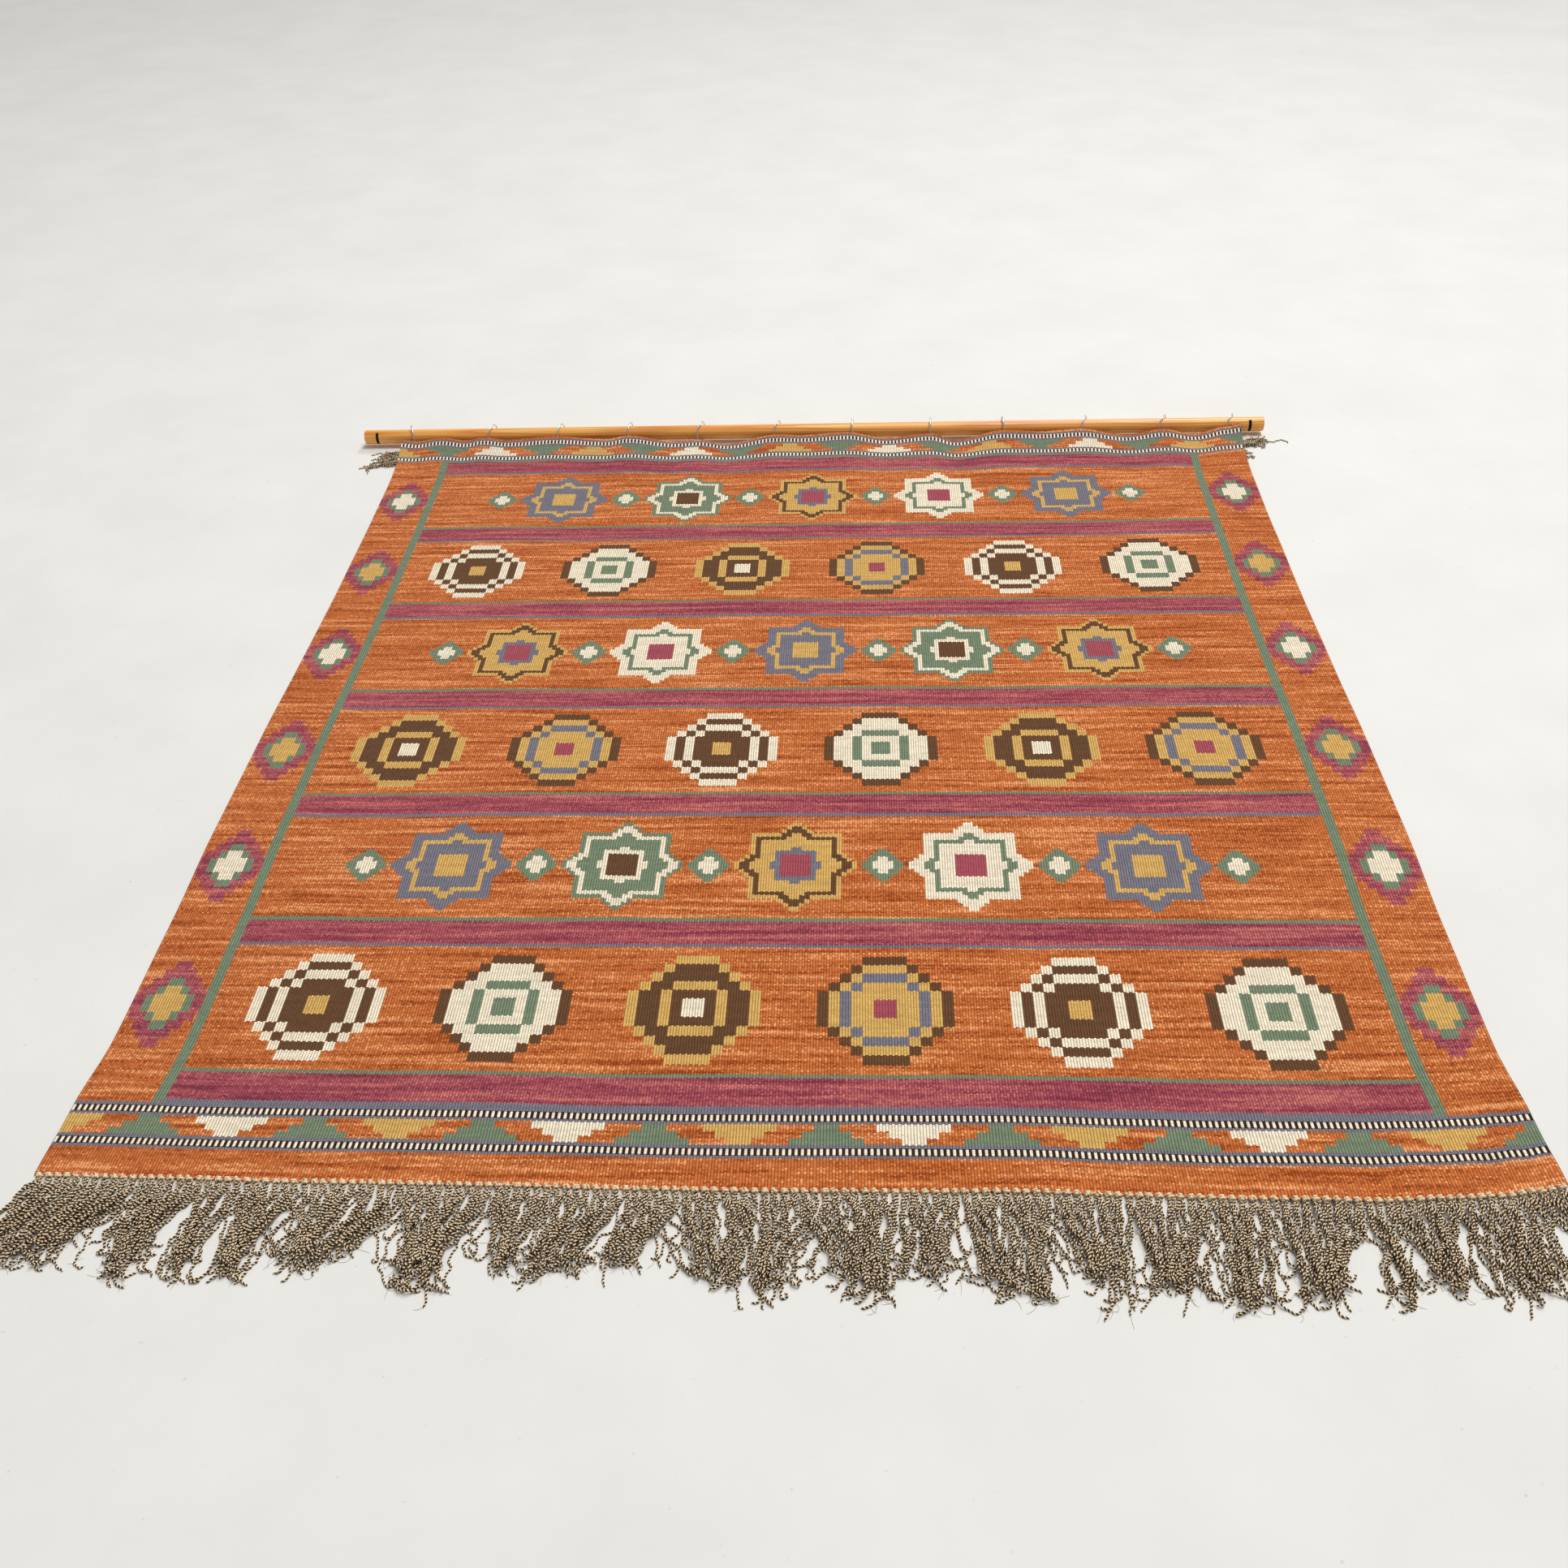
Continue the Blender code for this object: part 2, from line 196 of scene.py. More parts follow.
# The wool cloth, from its near edge to the hem turned under at the rod
cloth = {
    "thick": 0.0026,            # wool, underside to face
    "underAt": 0.0002,          # the underside's clearance from the frame's own
    "length": 2.0655,           # near edge to top fold, along the cloth
    "nearEdgeAt": -1.0345,
    "topEdgeAt": 1.0267,
    "bowFadesOver": 0.40,
    "foldRadius": 0.0017,
    "hem": 0.040,               # turned under at the top
    "columns": 480,             # about one for each rib
    "unevenness": 0.0011,       # how far the laid cloth's slack lifts it here and there
    "seed": 5,
}

# places across the cloth, -1 to 1, and how far its top edge sags there
scallops = (
    (-1.000, .17), (-.962, .34), (-.903, .00), (-.842, .30), (-.797, .00), (-.742, .27), (-.628, .03),
    (-.500, .35), (-.449, .05), (-.333, .69), (-.279, .55), (-.211, 1.00), (-.091, .15), (-.033, .24),
    (.074, .00), (.169, .65), (.272, .26), (.334, .96), (.445, .07), (.538, .18), (.625, .00), (.735, .65),
    (.822, .16), (.889, .67), (.972, -.07), (1.000, -.30),
)
# back from the top edge, height, share of it lost in a sag, slip down the floor in a sag
rise = (
    (.000, .0280, .68, .0160), (.020, .0205, .68, .0155), (.048, .0125, .66, .0140), (.074, .0080, .64, .0120),
    (.110, .0050, .62, .0090), (.161, .0026, .60, .0060), (.231, .0006, .60, .0030), (.330, .0000, .60, .0008),
    (.450, .0000, .60, .0000),
)
# across, forward place of the near edge, lift
nearEdge = (
    (-1.00, -1.0271, .0000), (-.80, -1.0300, .0012), (-.62, -1.0325, .0000), (-.38, -1.0340, .0014),
    (-.20, -1.0360, .0000), (-.03, -1.0372, .0010), (.14, -1.0350, .0000), (.31, -1.0332, .0014),
    (.47, -1.0360, .0000), (.60, -1.0390, .0010), (.68, -1.0405, .0048), (.76, -1.0400, .0018),
    (.84, -1.0360, .0040), (.91, -1.0300, .0010), (.96, -1.0235, .0025), (1.00, -1.0170, .0052),
)
waves = ((.000, 1.00), (.030, .80), (.075, .35), (.130, .00))
# forward, half width
selvedge = (
    (-1.035, .9985), (-.930, .9930), (-.800, .9825), (-.570, .9845), (-.350, .9905), (-.100, .9910),
    (.120, .9880), (.380, .9868), (.570, .9885), (.830, .9920), (1.040, 1.0000),
)

# how far forward the cloth lies for each distance back from its top edge
backs = np.linspace(0, cloth["length"], 4000)
heights = flowing(rise, backs, 1)
steps = np.sqrt(np.maximum(np.diff(backs) ** 2 - np.diff(heights) ** 2, 0))
forwards = cloth["topEdgeAt"] - np.concatenate([[0], np.cumsum(steps)])

slackChance = random.Random(cloth["seed"])
slackWaves = [(slackChance.uniform(4, 17), slackChance.uniform(3, 15), slackChance.uniform(0, 6.28))
              for _ in range(9)]


def underside(across, back):
    # points of the cloth's underside, for places across it and one distance back from the top
    sag = eased(scallops, across, 1)
    forward = np.interp(back, backs, forwards)
    halfWidth = eased(selvedge, forward, 1)
    high, lost, slip = (flowing(rise, back, column) for column in (1, 2, 3))
    inFromEdge = cloth["length"] - back
    height = high * (1 - lost * sag) + eased(nearEdge, across, 2) * eased(waves, inFromEdge, 1)
    bow = (eased(nearEdge, across, 1) - cloth["nearEdgeAt"]) * max(0.0, 1 - inFromEdge / cloth["bowFadesOver"])
    x = across * halfWidth
    y = forward - slip * sag + bow
    slack = sum(np.sin(a * x + b * y + c) for a, b, c in slackWaves) / len(slackWaves) ** 0.5
    inward = min(1.0, inFromEdge / 0.10) * min(1.0, back / 0.25)
    height = height + cloth["unevenness"] * np.maximum(slack, 0) * inward + cloth["underAt"]
    return np.stack([x + shiftX, y + shiftY, height], -1)


def wovenCloth(material):
    columns = cloth["columns"]
    across = np.linspace(-1, 1, columns + 1)
    flat = cloth["length"] - 0.003
    near = [0, .004, .010, .020, .034, .052, .074, .100, .130]
    middle = list(np.linspace(.130, 1.700, 52)[1:])
    top = list(np.linspace(1.700, 1.960, 12)[1:]) + list(np.linspace(1.960, flat, 11)[1:])
    layer, alongs = [], []
    for place in near + middle + top:
        points = underside(across, cloth["length"] - place)
        points[:, 2] += cloth["thick"] / 2
        layer.append(points)
        alongs.append(place)
    # knots draw the near edge into small bays
    pull = 0.0007 * (1 - np.cos(2 * math.pi * across * 1.0 / fringeYarn["knotPitch"]))
    layer[0][:, 1] += pull
    layer[1][:, 1] += pull * 0.4

    def frameAt(index):
        # the way the cloth runs at a row, and its normal
        run = layer[index] - layer[index - 1]
        run[:, 0] = 0
        run /= np.linalg.norm(run, axis=1)[:, None]
        return run, np.stack([np.zeros(len(run)), -run[:, 2], run[:, 1]], -1)

    last = len(layer) - 1
    run, up = frameAt(last)
    radius = cloth["foldRadius"]
    centre = layer[last] - up * radius
    for turn in np.linspace(0, math.pi, 7)[1:-1]:
        layer.append(centre + radius * (up * math.cos(turn) + run * math.sin(turn)))
        alongs.append(flat + radius * turn)
    for back in (0.0, .010, .020, .030, cloth["hem"]):
        points = underside(across, 0.003 + back)
        points[:, 2] += cloth["thick"] / 2
        points = points - up * radius * 2
        points[:, 2] = np.maximum(points[:, 2], cloth["thick"] / 2 + cloth["underAt"])
        layer.append(points)
        alongs.append(flat + radius * math.pi + back)

    startAfresh()
    bpy.ops.mesh.primitive_grid_add(x_subdivisions=columns, y_subdivisions=len(layer) - 1, size=2,
                                    calc_uvs=False)
    sheet = bpy.context.object
    sheet.name = sheet.data.name = "woven_cloth"
    mesh = sheet.data
    count = len(mesh.vertices)
    start = np.empty(count * 3)
    mesh.vertices.foreach_get("co", start)
    start = start.reshape(-1, 3)
    column = np.rint((start[:, 0] + 1) / 2 * columns).astype(int)
    row = np.rint((start[:, 1] + 1) / 2 * (len(layer) - 1)).astype(int)
    layer = np.array(layer)
    mesh.vertices.foreach_set("co", layer[row, column].ravel())
    corner = np.empty(len(mesh.loops), int)
    mesh.loops.foreach_get("vertex_index", corner)
    flatMap = np.stack([across[column[corner]], np.array(alongs)[row[corner]]], -1)
    mesh.uv_layers.new(name="flat").data.foreach_set("uv", flatMap.ravel())
    mesh.update()
    only(sheet)
    bpy.ops.object.shade_smooth()
    thicken = sheet.modifiers.new("thickness", "SOLIDIFY")
    thicken.thickness = cloth["thick"]
    thicken.offset = 0
    applyAll(sheet)
    bpy.ops.object.shade_smooth_by_angle(angle=math.radians(60))
    dress(sheet, material)
    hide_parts("woven_panel")
    return sheet


# The warp yarn: the fringe, its knots, and the ends that show at the far corners
fringeYarn = {
    "knotPitch": 0.0129,
    "radius": 0.00146,
    "turnEvery": 0.0050,        # one full turn of the two plies
    "step": 0.0022,
    "sides": 5,
    "endsInKnot": 5,
    "knotRadius": 0.0030,
    "knotTurns": 1.9,
    "knotLong": 0.0058,
    "knotYarn": 1.42,           # how thick the yarn looks where it is drawn round its knot
    "knotSteps": 22,
    "reach": (0.130, 0.172),
    "bunches": (1, 2, 3, 4, 5, 5, 6, 6, 7, 8),    # knots whose ends mat together
    "hangs": (0.020, 0.052),    # how far out the ends hang free before they draw together
    "meets": (0.084, 0.122),    # how far out a bunch has drawn together
    "squeeze": (0.28, 0.66),    # how narrow a bunch gets, as a share of its width at the knots
    "strays": 0.22,             # share of ends that cross to the next bunch
    "drift": 0.0068,            # how far an end strays from its knot before it joins its bunch
    "cornerFan": 0.085,
    "fanFrom": 0.78,
    "pile": 0.0115,             # highest that strands pile up
    "wisps": 1000,              # loose fibres
    "pieces": 5,
    "seed": 12,
}


class Ground:
    # keeps how high the strands lie, so that each new one rests on those before it
    def __init__(self, lowX, lowY, wide, deep, cell=0.0014):
        self.low, self.cell = (lowX, lowY), cell
        self.high = np.zeros((int(wide / cell) + 4, int(deep / cell) + 4))

    def cells(self, points):
        i = np.clip(((points[:, 0] - self.low[0]) / self.cell).astype(int), 1, self.high.shape[0] - 2)
        j = np.clip(((points[:, 1] - self.low[1]) / self.cell).astype(int), 1, self.high.shape[1] - 2)
        return i, j

    def lay(self, points, radius, free, most):
        # points from the index free on come to rest; those before it are held
        i, j = self.cells(points)
        under = np.max([self.high[i + a, j + b] for a in (-1, 0, 1) for b in (-1, 0, 1)], axis=0)
        rest = np.minimum(under + radius * 0.85, most)
        kernel = np.ones(9) / 9
        rest = np.convolve(np.pad(rest, 4, mode="edge"), kernel, "valid")
        held = points[:, 2].copy()
        fall = np.clip((np.arange(len(points)) - free) / 12, 0, 1)
        points[:, 2] = np.maximum(held[min(free, len(held) - 1)] * (1 - fall) + rest * fall, radius * 0.8)
        points[:free, 2] = held[:free]
        for a in (-1, 0, 1):
            for b in (-1, 0, 1):
                np.maximum.at(self.high, (i + a, j + b), points[:, 2] + radius * 0.55)


def wander(chance, root, aim, length, liveliness=1.0):
    # a strand's course on the floor as (along, out), steered towards aim(out), with the yarn's own kinks
    step = fringeYarn["step"]
    slow, slowAmount = chance.uniform(.024, .058), chance.uniform(.20, .60) * liveliness
    quick, quickAmount = chance.uniform(.009, .017), chance.uniform(.18, .52) * liveliness
    slowPhase, quickPhase = chance.uniform(0, 6.28), chance.uniform(0, 6.28)
    curlFrom = length * chance.uniform(.68, .90)
    curl = chance.choice((-1, 1)) * chance.uniform(1.2, 6.4) * chance.random() ** 0.35
    along, out = root
    course = [(along, out)]
    for index in range(int(length / step)):
        travelled = index * step
        wish = max(-1.25, min(1.25, math.atan2(aim(out + .022) - along, .022)))
        heading = (wish + slowAmount * math.sin(6.28 * travelled / slow + slowPhase)
                   + quickAmount * math.sin(6.28 * travelled / quick + quickPhase)
                   + curl * max(0.0, (travelled - curlFrom) / (length - curlFrom)))
        along += math.sin(heading) * step
        out += math.cos(heading) * step
        course.append((along, out))
    return course


def yarnMesh(name, strands, material, sides=fringeYarn["sides"]):
    # one mesh of yarn; each strand is (points, phase, a direction it never runs in, thickness)
    angles = np.arange(sides) * 2 * math.pi / sides
    allPoints, allFaces, allMaps, start = [], [], [], 0
    for points, phase, reference, thickness in strands:
        count = len(points)
        run = np.gradient(points, axis=0)
        lengths = np.linalg.norm(run, axis=1)
        run /= lengths[:, None]
        travelled = np.concatenate([[0], np.cumsum(np.linalg.norm(np.diff(points, axis=0), axis=1))])
        side = np.cross(run, np.array(reference, float))
        side /= np.linalg.norm(side, axis=1)[:, None]
        up = np.cross(side, run)
        radius = fringeYarn["radius"] * thickness * np.ones(count)
        radius[-1] *= 0.45
        radius[-2] *= 0.80
        across = radius[:, None] * np.cos(angles)
        upward = radius[:, None] * np.sin(angles)
        rings = points[:, None, :] + across[..., None] * side[:, None, :] + upward[..., None] * up[:, None, :]
        rings[..., 2] = np.maximum(rings[..., 2], 0.0001)
        allPoints.append(rings.reshape(-1, 3))
        ring, k = np.meshgrid(np.arange(count - 1), np.arange(sides), indexing="ij")
        nextK = (k + 1) % sides
        faces = start + np.stack([ring * sides + k, ring * sides + nextK,
                                  (ring + 1) * sides + nextK, (ring + 1) * sides + k], -1).reshape(-1, 4)
        allFaces.append(faces)
        u = np.stack([k, k + 1, k + 1, k], -1) / sides
        v = np.stack([travelled[ring], travelled[ring], travelled[ring + 1], travelled[ring + 1]], -1)
        allMaps.append(np.stack([u, v + phase], -1).reshape(-1, 2))
        start += count * sides
    mesh = bpy.data.meshes.new(name)
    points = np.concatenate(allPoints)
    faces = np.concatenate(allFaces).tolist()
    ends, first = [], 0
    for strand in strands:
        count = len(strand[0])
        ends.append([first + k for k in range(sides)])
        ends.append([first + (count - 1) * sides + k for k in reversed(range(sides))])
        first += count * sides
    mesh.from_pydata(points.tolist(), [], faces + ends)
    maps = np.concatenate(allMaps + [np.zeros((len(ends) * sides, 2))])
    mesh.uv_layers.new(name="ply").data.foreach_set("uv", maps.ravel())
    yarn = bpy.data.objects.new(name, mesh)
    bpy.context.scene.collection.objects.link(yarn)
    only(yarn)
    bpy.ops.object.mode_set(mode="EDIT")
    bpy.ops.mesh.select_all(action="SELECT")
    bpy.ops.mesh.normals_make_consistent(inside=False)
    bpy.ops.object.mode_set(mode="OBJECT")
    bpy.ops.object.shade_smooth()
    dress(yarn, material)
    return yarn


def fringe(material, paintedLitKnotMaterial):
    chance = random.Random(fringeYarn["seed"])
    pitch, radius = fringeYarn["knotPitch"], fringeYarn["radius"]
    halfWidth = eased(selvedge, cloth["nearEdgeAt"], 1) - 0.002
    count = int(2 * halfWidth / pitch)
    knots = [(index - (count - 1) / 2) * pitch + chance.uniform(-.0007, .0007) for index in range(count)]

    # bunches: neighbouring knots whose ends draw together into a matted tip
    bunches, bunchOf = [], []
    while len(bunchOf) < count:
        size = min(chance.choice(fringeYarn["bunches"]), count - len(bunchOf))
        members = knots[len(bunchOf):len(bunchOf) + size]
        slant = -.018 if members[0] < 0 else .004
        bunches.append({"from": sum(members) / size, "to": sum(members) / size + chance.gauss(slant, .019),
                        "hang": chance.uniform(*fringeYarn["hangs"]), "meet": chance.uniform(*fringeYarn["meets"]),
                        "squeeze": chance.uniform(*fringeYarn["squeeze"]),
                        "reach": chance.uniform(*fringeYarn["reach"])})
        bunchOf += [len(bunches) - 1] * size
    ground = Ground(-1.25, -1.30, 2.5, 0.42)

    coils, laid = [], []
    for number, knot in enumerate(knots):
        across = min(1.0, max(-1.0, knot / halfWidth))
        edge = underside(np.array([across]), cloth["length"])[0]
        centreZ = edge[2] + fringeYarn["knotRadius"] + radius * 1.2
        # the knot: a short thick coil of the same yarn around its warps
        along = np.linspace(0, 1, fringeYarn["knotSteps"])
        turns = 2 * math.pi * fringeYarn["knotTurns"] * along
        size = chance.uniform(.92, 1.08)
        start = chance.uniform(-.6, 1.2)
        lean = chance.uniform(.0006, .0022)
        coil = np.stack([
            edge[0] + fringeYarn["knotRadius"] * size * 1.10 * np.cos(turns + start)
            + lean * (2 * along - 1),
            edge[1] + .0008 - fringeYarn["knotLong"] * along,
            centreZ + fringeYarn["knotRadius"] * size * np.sin(turns + start) * 0.90], -1)
        coils.append((coil, chance.uniform(0, 6.28), (0, 1, 0), fringeYarn["knotYarn"]))
        ends = fringeYarn["endsInKnot"]
        for end in range(ends):
            place = (end - (ends - 1) / 2) / ((ends - 1) / 2)
            home = bunchOf[number]
            if chance.random() < fringeYarn["strays"]:
                home = min(len(bunches) - 1, max(0, home + chance.choice((-1, 1))))
            bunch = bunches[home]
            beside, drift = chance.gauss(0, .0050), chance.gauss(0, fringeYarn["drift"])
            outward = max(0.0, abs(knot) - fringeYarn["fanFrom"]) / (1 - fringeYarn["fanFrom"])
            fan = math.copysign(fringeYarn["cornerFan"] * outward ** 2, knot)
            target = bunch["to"] + (knot - bunch["from"]) * bunch["squeeze"] + beside

            def aim(out, knot=knot, bunch=bunch, target=target, fan=fan, place=place, drift=drift):
                share = min(1.0, max(0.0, (out - bunch["hang"]) / (bunch["meet"] - bunch["hang"])))
                share = share * share * (3 - 2 * share)
                opened = (place * .0060 * min(1.0, out / .012) + drift * min(1.0, out / .030)) * (1 - share)
                return knot + (target - knot) * share + opened + fan * out / .158

            length = bunch["reach"] * chance.uniform(.78, 1.06)
            course = wander(chance, (knot + place * .0022, .0080), aim, length)
            rooted = [(edge[0] + place * .0042, edge[1] + .0035, edge[2] + cloth["thick"] / 2),
                      (edge[0] + place * .0034, edge[1] + .0010, edge[2] + cloth["thick"] / 2),
                      (edge[0] + place * .0020, edge[1] - .0020, centreZ - .0012),
                      (edge[0] + place * .0020, edge[1] - .0050, centreZ - .0006)]
            points = rooted + [(along + shiftX, edge[1] - out, centreZ - .0012) for along, out in course]
            laid.append((number, np.array(points), chance.uniform(0, 6.28), (0, 0, 1),
                         chance.uniform(.88, 1.10)))
    order = list(range(len(laid)))
    chance.shuffle(order)
    for index in order:
        ground.lay(laid[index][1], radius, 5, fringeYarn["pile"])

    # loose fibres that stand off the yarn and lie about the tips
    wisps = []
    for number in range(fringeYarn["wisps"]):
        points = laid[chance.randrange(len(laid))][1]
        root = points[chance.randrange(12 if number % 2 else len(points) - 16, len(points) - 1)]
        heading, bend = chance.uniform(-1.9, 1.9), chance.uniform(-.34, .34)
        x, y, z = root
        wisp = []
        for step in range(chance.randint(4, 9) if number % 2 else chance.randint(6, 13)):
            wisp.append((x, y, max(.0004, z * (1 - step / 5))))
            x += math.sin(heading) * .0019
            y -= math.cos(heading) * .0019
            heading += bend
        wisps.append((np.array(wisp), 0.0, (0, 0, 1), .11))

    pieces = [yarnMesh("fringe_knots", coils, paintedLitKnotMaterial), yarnMesh("fringe_wisps", wisps, material, 3)]
    for part in range(fringeYarn["pieces"]):
        low = part * count / fringeYarn["pieces"]
        high = (part + 1) * count / fringeYarn["pieces"]
        chosen = [entry[1:] for entry in laid if low <= entry[0] < high]
        pieces.append(yarnMesh(f"fringe_{part + 1}", chosen, material))
    for piece in pieces:
        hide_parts("fringe")
    return pieces


# the turned-under far fringe past each corner: forward at the root, forward at the tip, reach
leftTuft = ((.950, .932, .118), (.955, .948, .062), (.960, .958, .084), (.965, .968, .070), (.970, .978, .090),
            (.975, .990, .066), (.980, 1.002, .082))
rightTuft = ((.931, .930, .026), (.936, .938, .032), (.941, .946, .024), (.966, .984, .070),
             (.971, .994, .100), (.976, 1.003, .112), (.981, 1.013, .094))


def cornerTuft(name, node, side, table, material):
    chance = random.Random(fringeYarn["seed"] + side)
    ground = Ground(-1.25 if side < 0 else 0.9, 0.8, 0.40, 0.40)
    strands = []
    for root, tip, reach in table * 4:
        def aim(out, root=root, tip=tip, reach=reach):
            return root + (tip - root) * min(1.3, max(0.0, (out - .96) / reach))
        root += chance.uniform(-.006, .006)
        course = wander(chance, (root, .945), aim, (reach + .050) * chance.uniform(.90, 1.30), 1.9)
        points = np.array([(side * out + shiftX, along + shiftY, .0018) for along, out in course])
        if len(points) > 8:
            ground.lay(points, fringeYarn["radius"], 4, .0090)
            inside = np.clip((np.abs(points[:, 0] - shiftX) - .955) / .045, 0, 1)
            points[:, 2] = np.minimum(points[:, 2], .0016 + .0090 * inside)
            strands.append((points, chance.uniform(0, 6.28), (0, 0, 1), chance.uniform(.85, 1.05)))
    tuft = yarnMesh(name, strands, material)
    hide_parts(node)
    return tuft


rod = {"radius": .0165, "from": -1.096, "to": 1.057, "forward": 1.050, "height": .0218, "sides": 64,
       "endRound": .0012, "kerfWide": .0065, "kerfDeep": .0085, "kerfsAt": (-1.064, 1.024)}


def woodenRod(material):
    middle = ((rod["from"] + rod["to"]) / 2 + shiftX, rod["forward"] + shiftY, rod["height"])
    startAfresh()
    bpy.ops.mesh.primitive_cylinder_add(vertices=rod["sides"], radius=rod["radius"],
                                        depth=rod["to"] - rod["from"], location=middle,
                                        rotation=(0, math.pi / 2, 0))
    pole = bpy.context.object
    pole.name = pole.data.name = "pine_rod"
    settle(pole)
    soften = pole.modifiers.new("sanded", "BEVEL")
    soften.width, soften.segments, soften.limit_method = rod["endRound"], 3, "ANGLE"
    applyAll(pole)
    for at in rod["kerfsAt"]:
        startAfresh()
        reach = .010
        bpy.ops.mesh.primitive_cube_add(size=1, location=(
            at + shiftX, middle[1] - rod["radius"] + (rod["kerfDeep"] - reach) / 2, middle[2]))
        saw = bpy.context.object
        saw.scale = (rod["kerfWide"], rod["kerfDeep"] + reach, .05)
        settle(saw)
        cut = pole.modifiers.new("kerf", "BOOLEAN")
        cut.object, cut.solver = saw, "EXACT"
        applyAll(pole)
        bpy.data.objects.remove(saw)
    only(pole)
    bpy.ops.object.shade_smooth_by_angle(angle=math.radians(35))
    dress(pole, material)
    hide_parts("rod")
    return pole


ring = {"wire": .0020, "inner": .0200, "slack": .0008, "drawn": .60, "gap": 1.2, "steps": 48, "around": 10}
# across, turn in degrees
ringPlaces = (
    (-.979, 20), (-.782, -17), (-.615, -13), (-.446, -8), (-.275, -20), (-.091, -19),
    (.089, -3), (.275, -5), (.446, 4), (.638, -21), (.822, -28), (.979, -28),
)
stitch = {"perRing": 4, "thread": .00045, "long": .0052, "wide": .0032}


def ringMiddle(across, turn):
    play = max(0.0, ring["inner"] * math.cos(math.radians(turn)) - rod["radius"] - ring["slack"])
    middleRadius = ring["inner"] + ring["wire"]
    return Vector((across + shiftX, rod["forward"] + play * ring["drawn"] + shiftY, middleRadius + ring["wire"]))


def wireRings(material):
    middleRadius = ring["inner"] + ring["wire"]
    startAfresh()
    # the wire's round section, spun about the ring's own axis, which lies along the rod
    bpy.ops.mesh.primitive_circle_add(vertices=ring["around"], radius=ring["wire"],
                                      location=(0, middleRadius, 0))
    pattern = bpy.context.object
    settle(pattern)
    bpy.ops.object.mode_set(mode="EDIT")
    bpy.ops.mesh.select_all(action="SELECT")
    bpy.ops.mesh.spin(steps=ring["steps"], angle=math.radians(360 - ring["gap"]), center=(0, 0, 0),
                      axis=(1, 0, 0))
    bpy.ops.mesh.select_all(action="SELECT")
    bpy.ops.mesh.fill_holes(sides=ring["around"] + 2)
    bpy.ops.mesh.normals_make_consistent(inside=False)
    bpy.ops.object.mode_set(mode="OBJECT")
    bpy.ops.object.shade_smooth_by_angle(angle=math.radians(50))
    made = []
    for index, (across, turn) in enumerate(ringPlaces):
        copy = bpy.data.objects.new(f"wire_ring_{index + 1:02d}", pattern.data.copy())
        bpy.context.scene.collection.objects.link(copy)
        copy.matrix_world = (Matrix.Translation(ringMiddle(across, turn))
                             @ Matrix.Rotation(math.radians(turn), 4, "Z")
                             @ Matrix.Rotation(math.radians(-40 + 9 * (index % 4)), 4, "X"))
        settle(copy)
        dress(copy, material)
        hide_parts(f"ring_{index + 1:02d}")
        made.append(copy)
    bpy.data.objects.remove(pattern)
    return made


def ringStitches(material):
    loops = []
    for across, turn in ringPlaces:
        edge = underside(np.array([across]), 0.0)[0]
        middle = ringMiddle(across, turn)
        wireY = middle.y - math.sqrt((ring["inner"] + ring["wire"]) ** 2 - (edge[2] - middle.z) ** 2)
        for index in range(stitch["perRing"]):
            side = index - (stitch["perRing"] - 1) / 2
            startAfresh()
            bpy.ops.mesh.primitive_torus_add(major_radius=1, minor_radius=stitch["thread"] / stitch["wide"],
                                             major_segments=18, minor_segments=6)
            loop = bpy.context.object
            loop.scale = (stitch["wide"], stitch["long"] - .0002 * index, stitch["wide"])
            loop.rotation_euler = (math.radians(18 * side), math.radians(20 * side), math.radians(24 * side))
            loop.location = (middle.x, (wireY + edge[1] - .0015) / 2, edge[2] - .0006 + .0009 * side)
            settle(loop)
            loops.append(loop)
    startAfresh()
    for loop in loops:
        loop.select_set(True)
    bpy.context.view_layer.objects.active = loops[0]
    bpy.ops.object.join()
    stitches = bpy.context.object
    stitches.name = stitches.data.name = "ring_stitches"
    bpy.ops.object.shade_smooth()
    dress(stitches, material)
    return stitches


# Dyed wool, the weave's own steps, and where the bands and motifs lie
wool = {
    "orange": tone(204, 112, 56), "orangeDark": tone(164, 76, 28), "orangePale": tone(238, 160, 104),
    "plum": tone(170, 80, 92), "plumDark": tone(136, 54, 72), "plumPale": tone(206, 118, 108),
    "green": tone(122, 138, 112), "ochre": tone(218, 174, 98), "cream": tone(246, 232, 206),
    "brown": tone(106, 72, 46), "greyBlue": tone(124, 120, 132), "nearBlack": tone(50, 33, 25),
    "lineTall": 0.0068,         # the thin line along each side of a band
    "rib": 0.0042, "weft": 0.0030, "motifPitch": 68 * 0.0042, "rowPitch": 0.29925, "bandTall": 0.0615,
    "fieldFrom": 0.124, "mirrorAt": 2.105, "stripe": (0.872, 0.890),
}


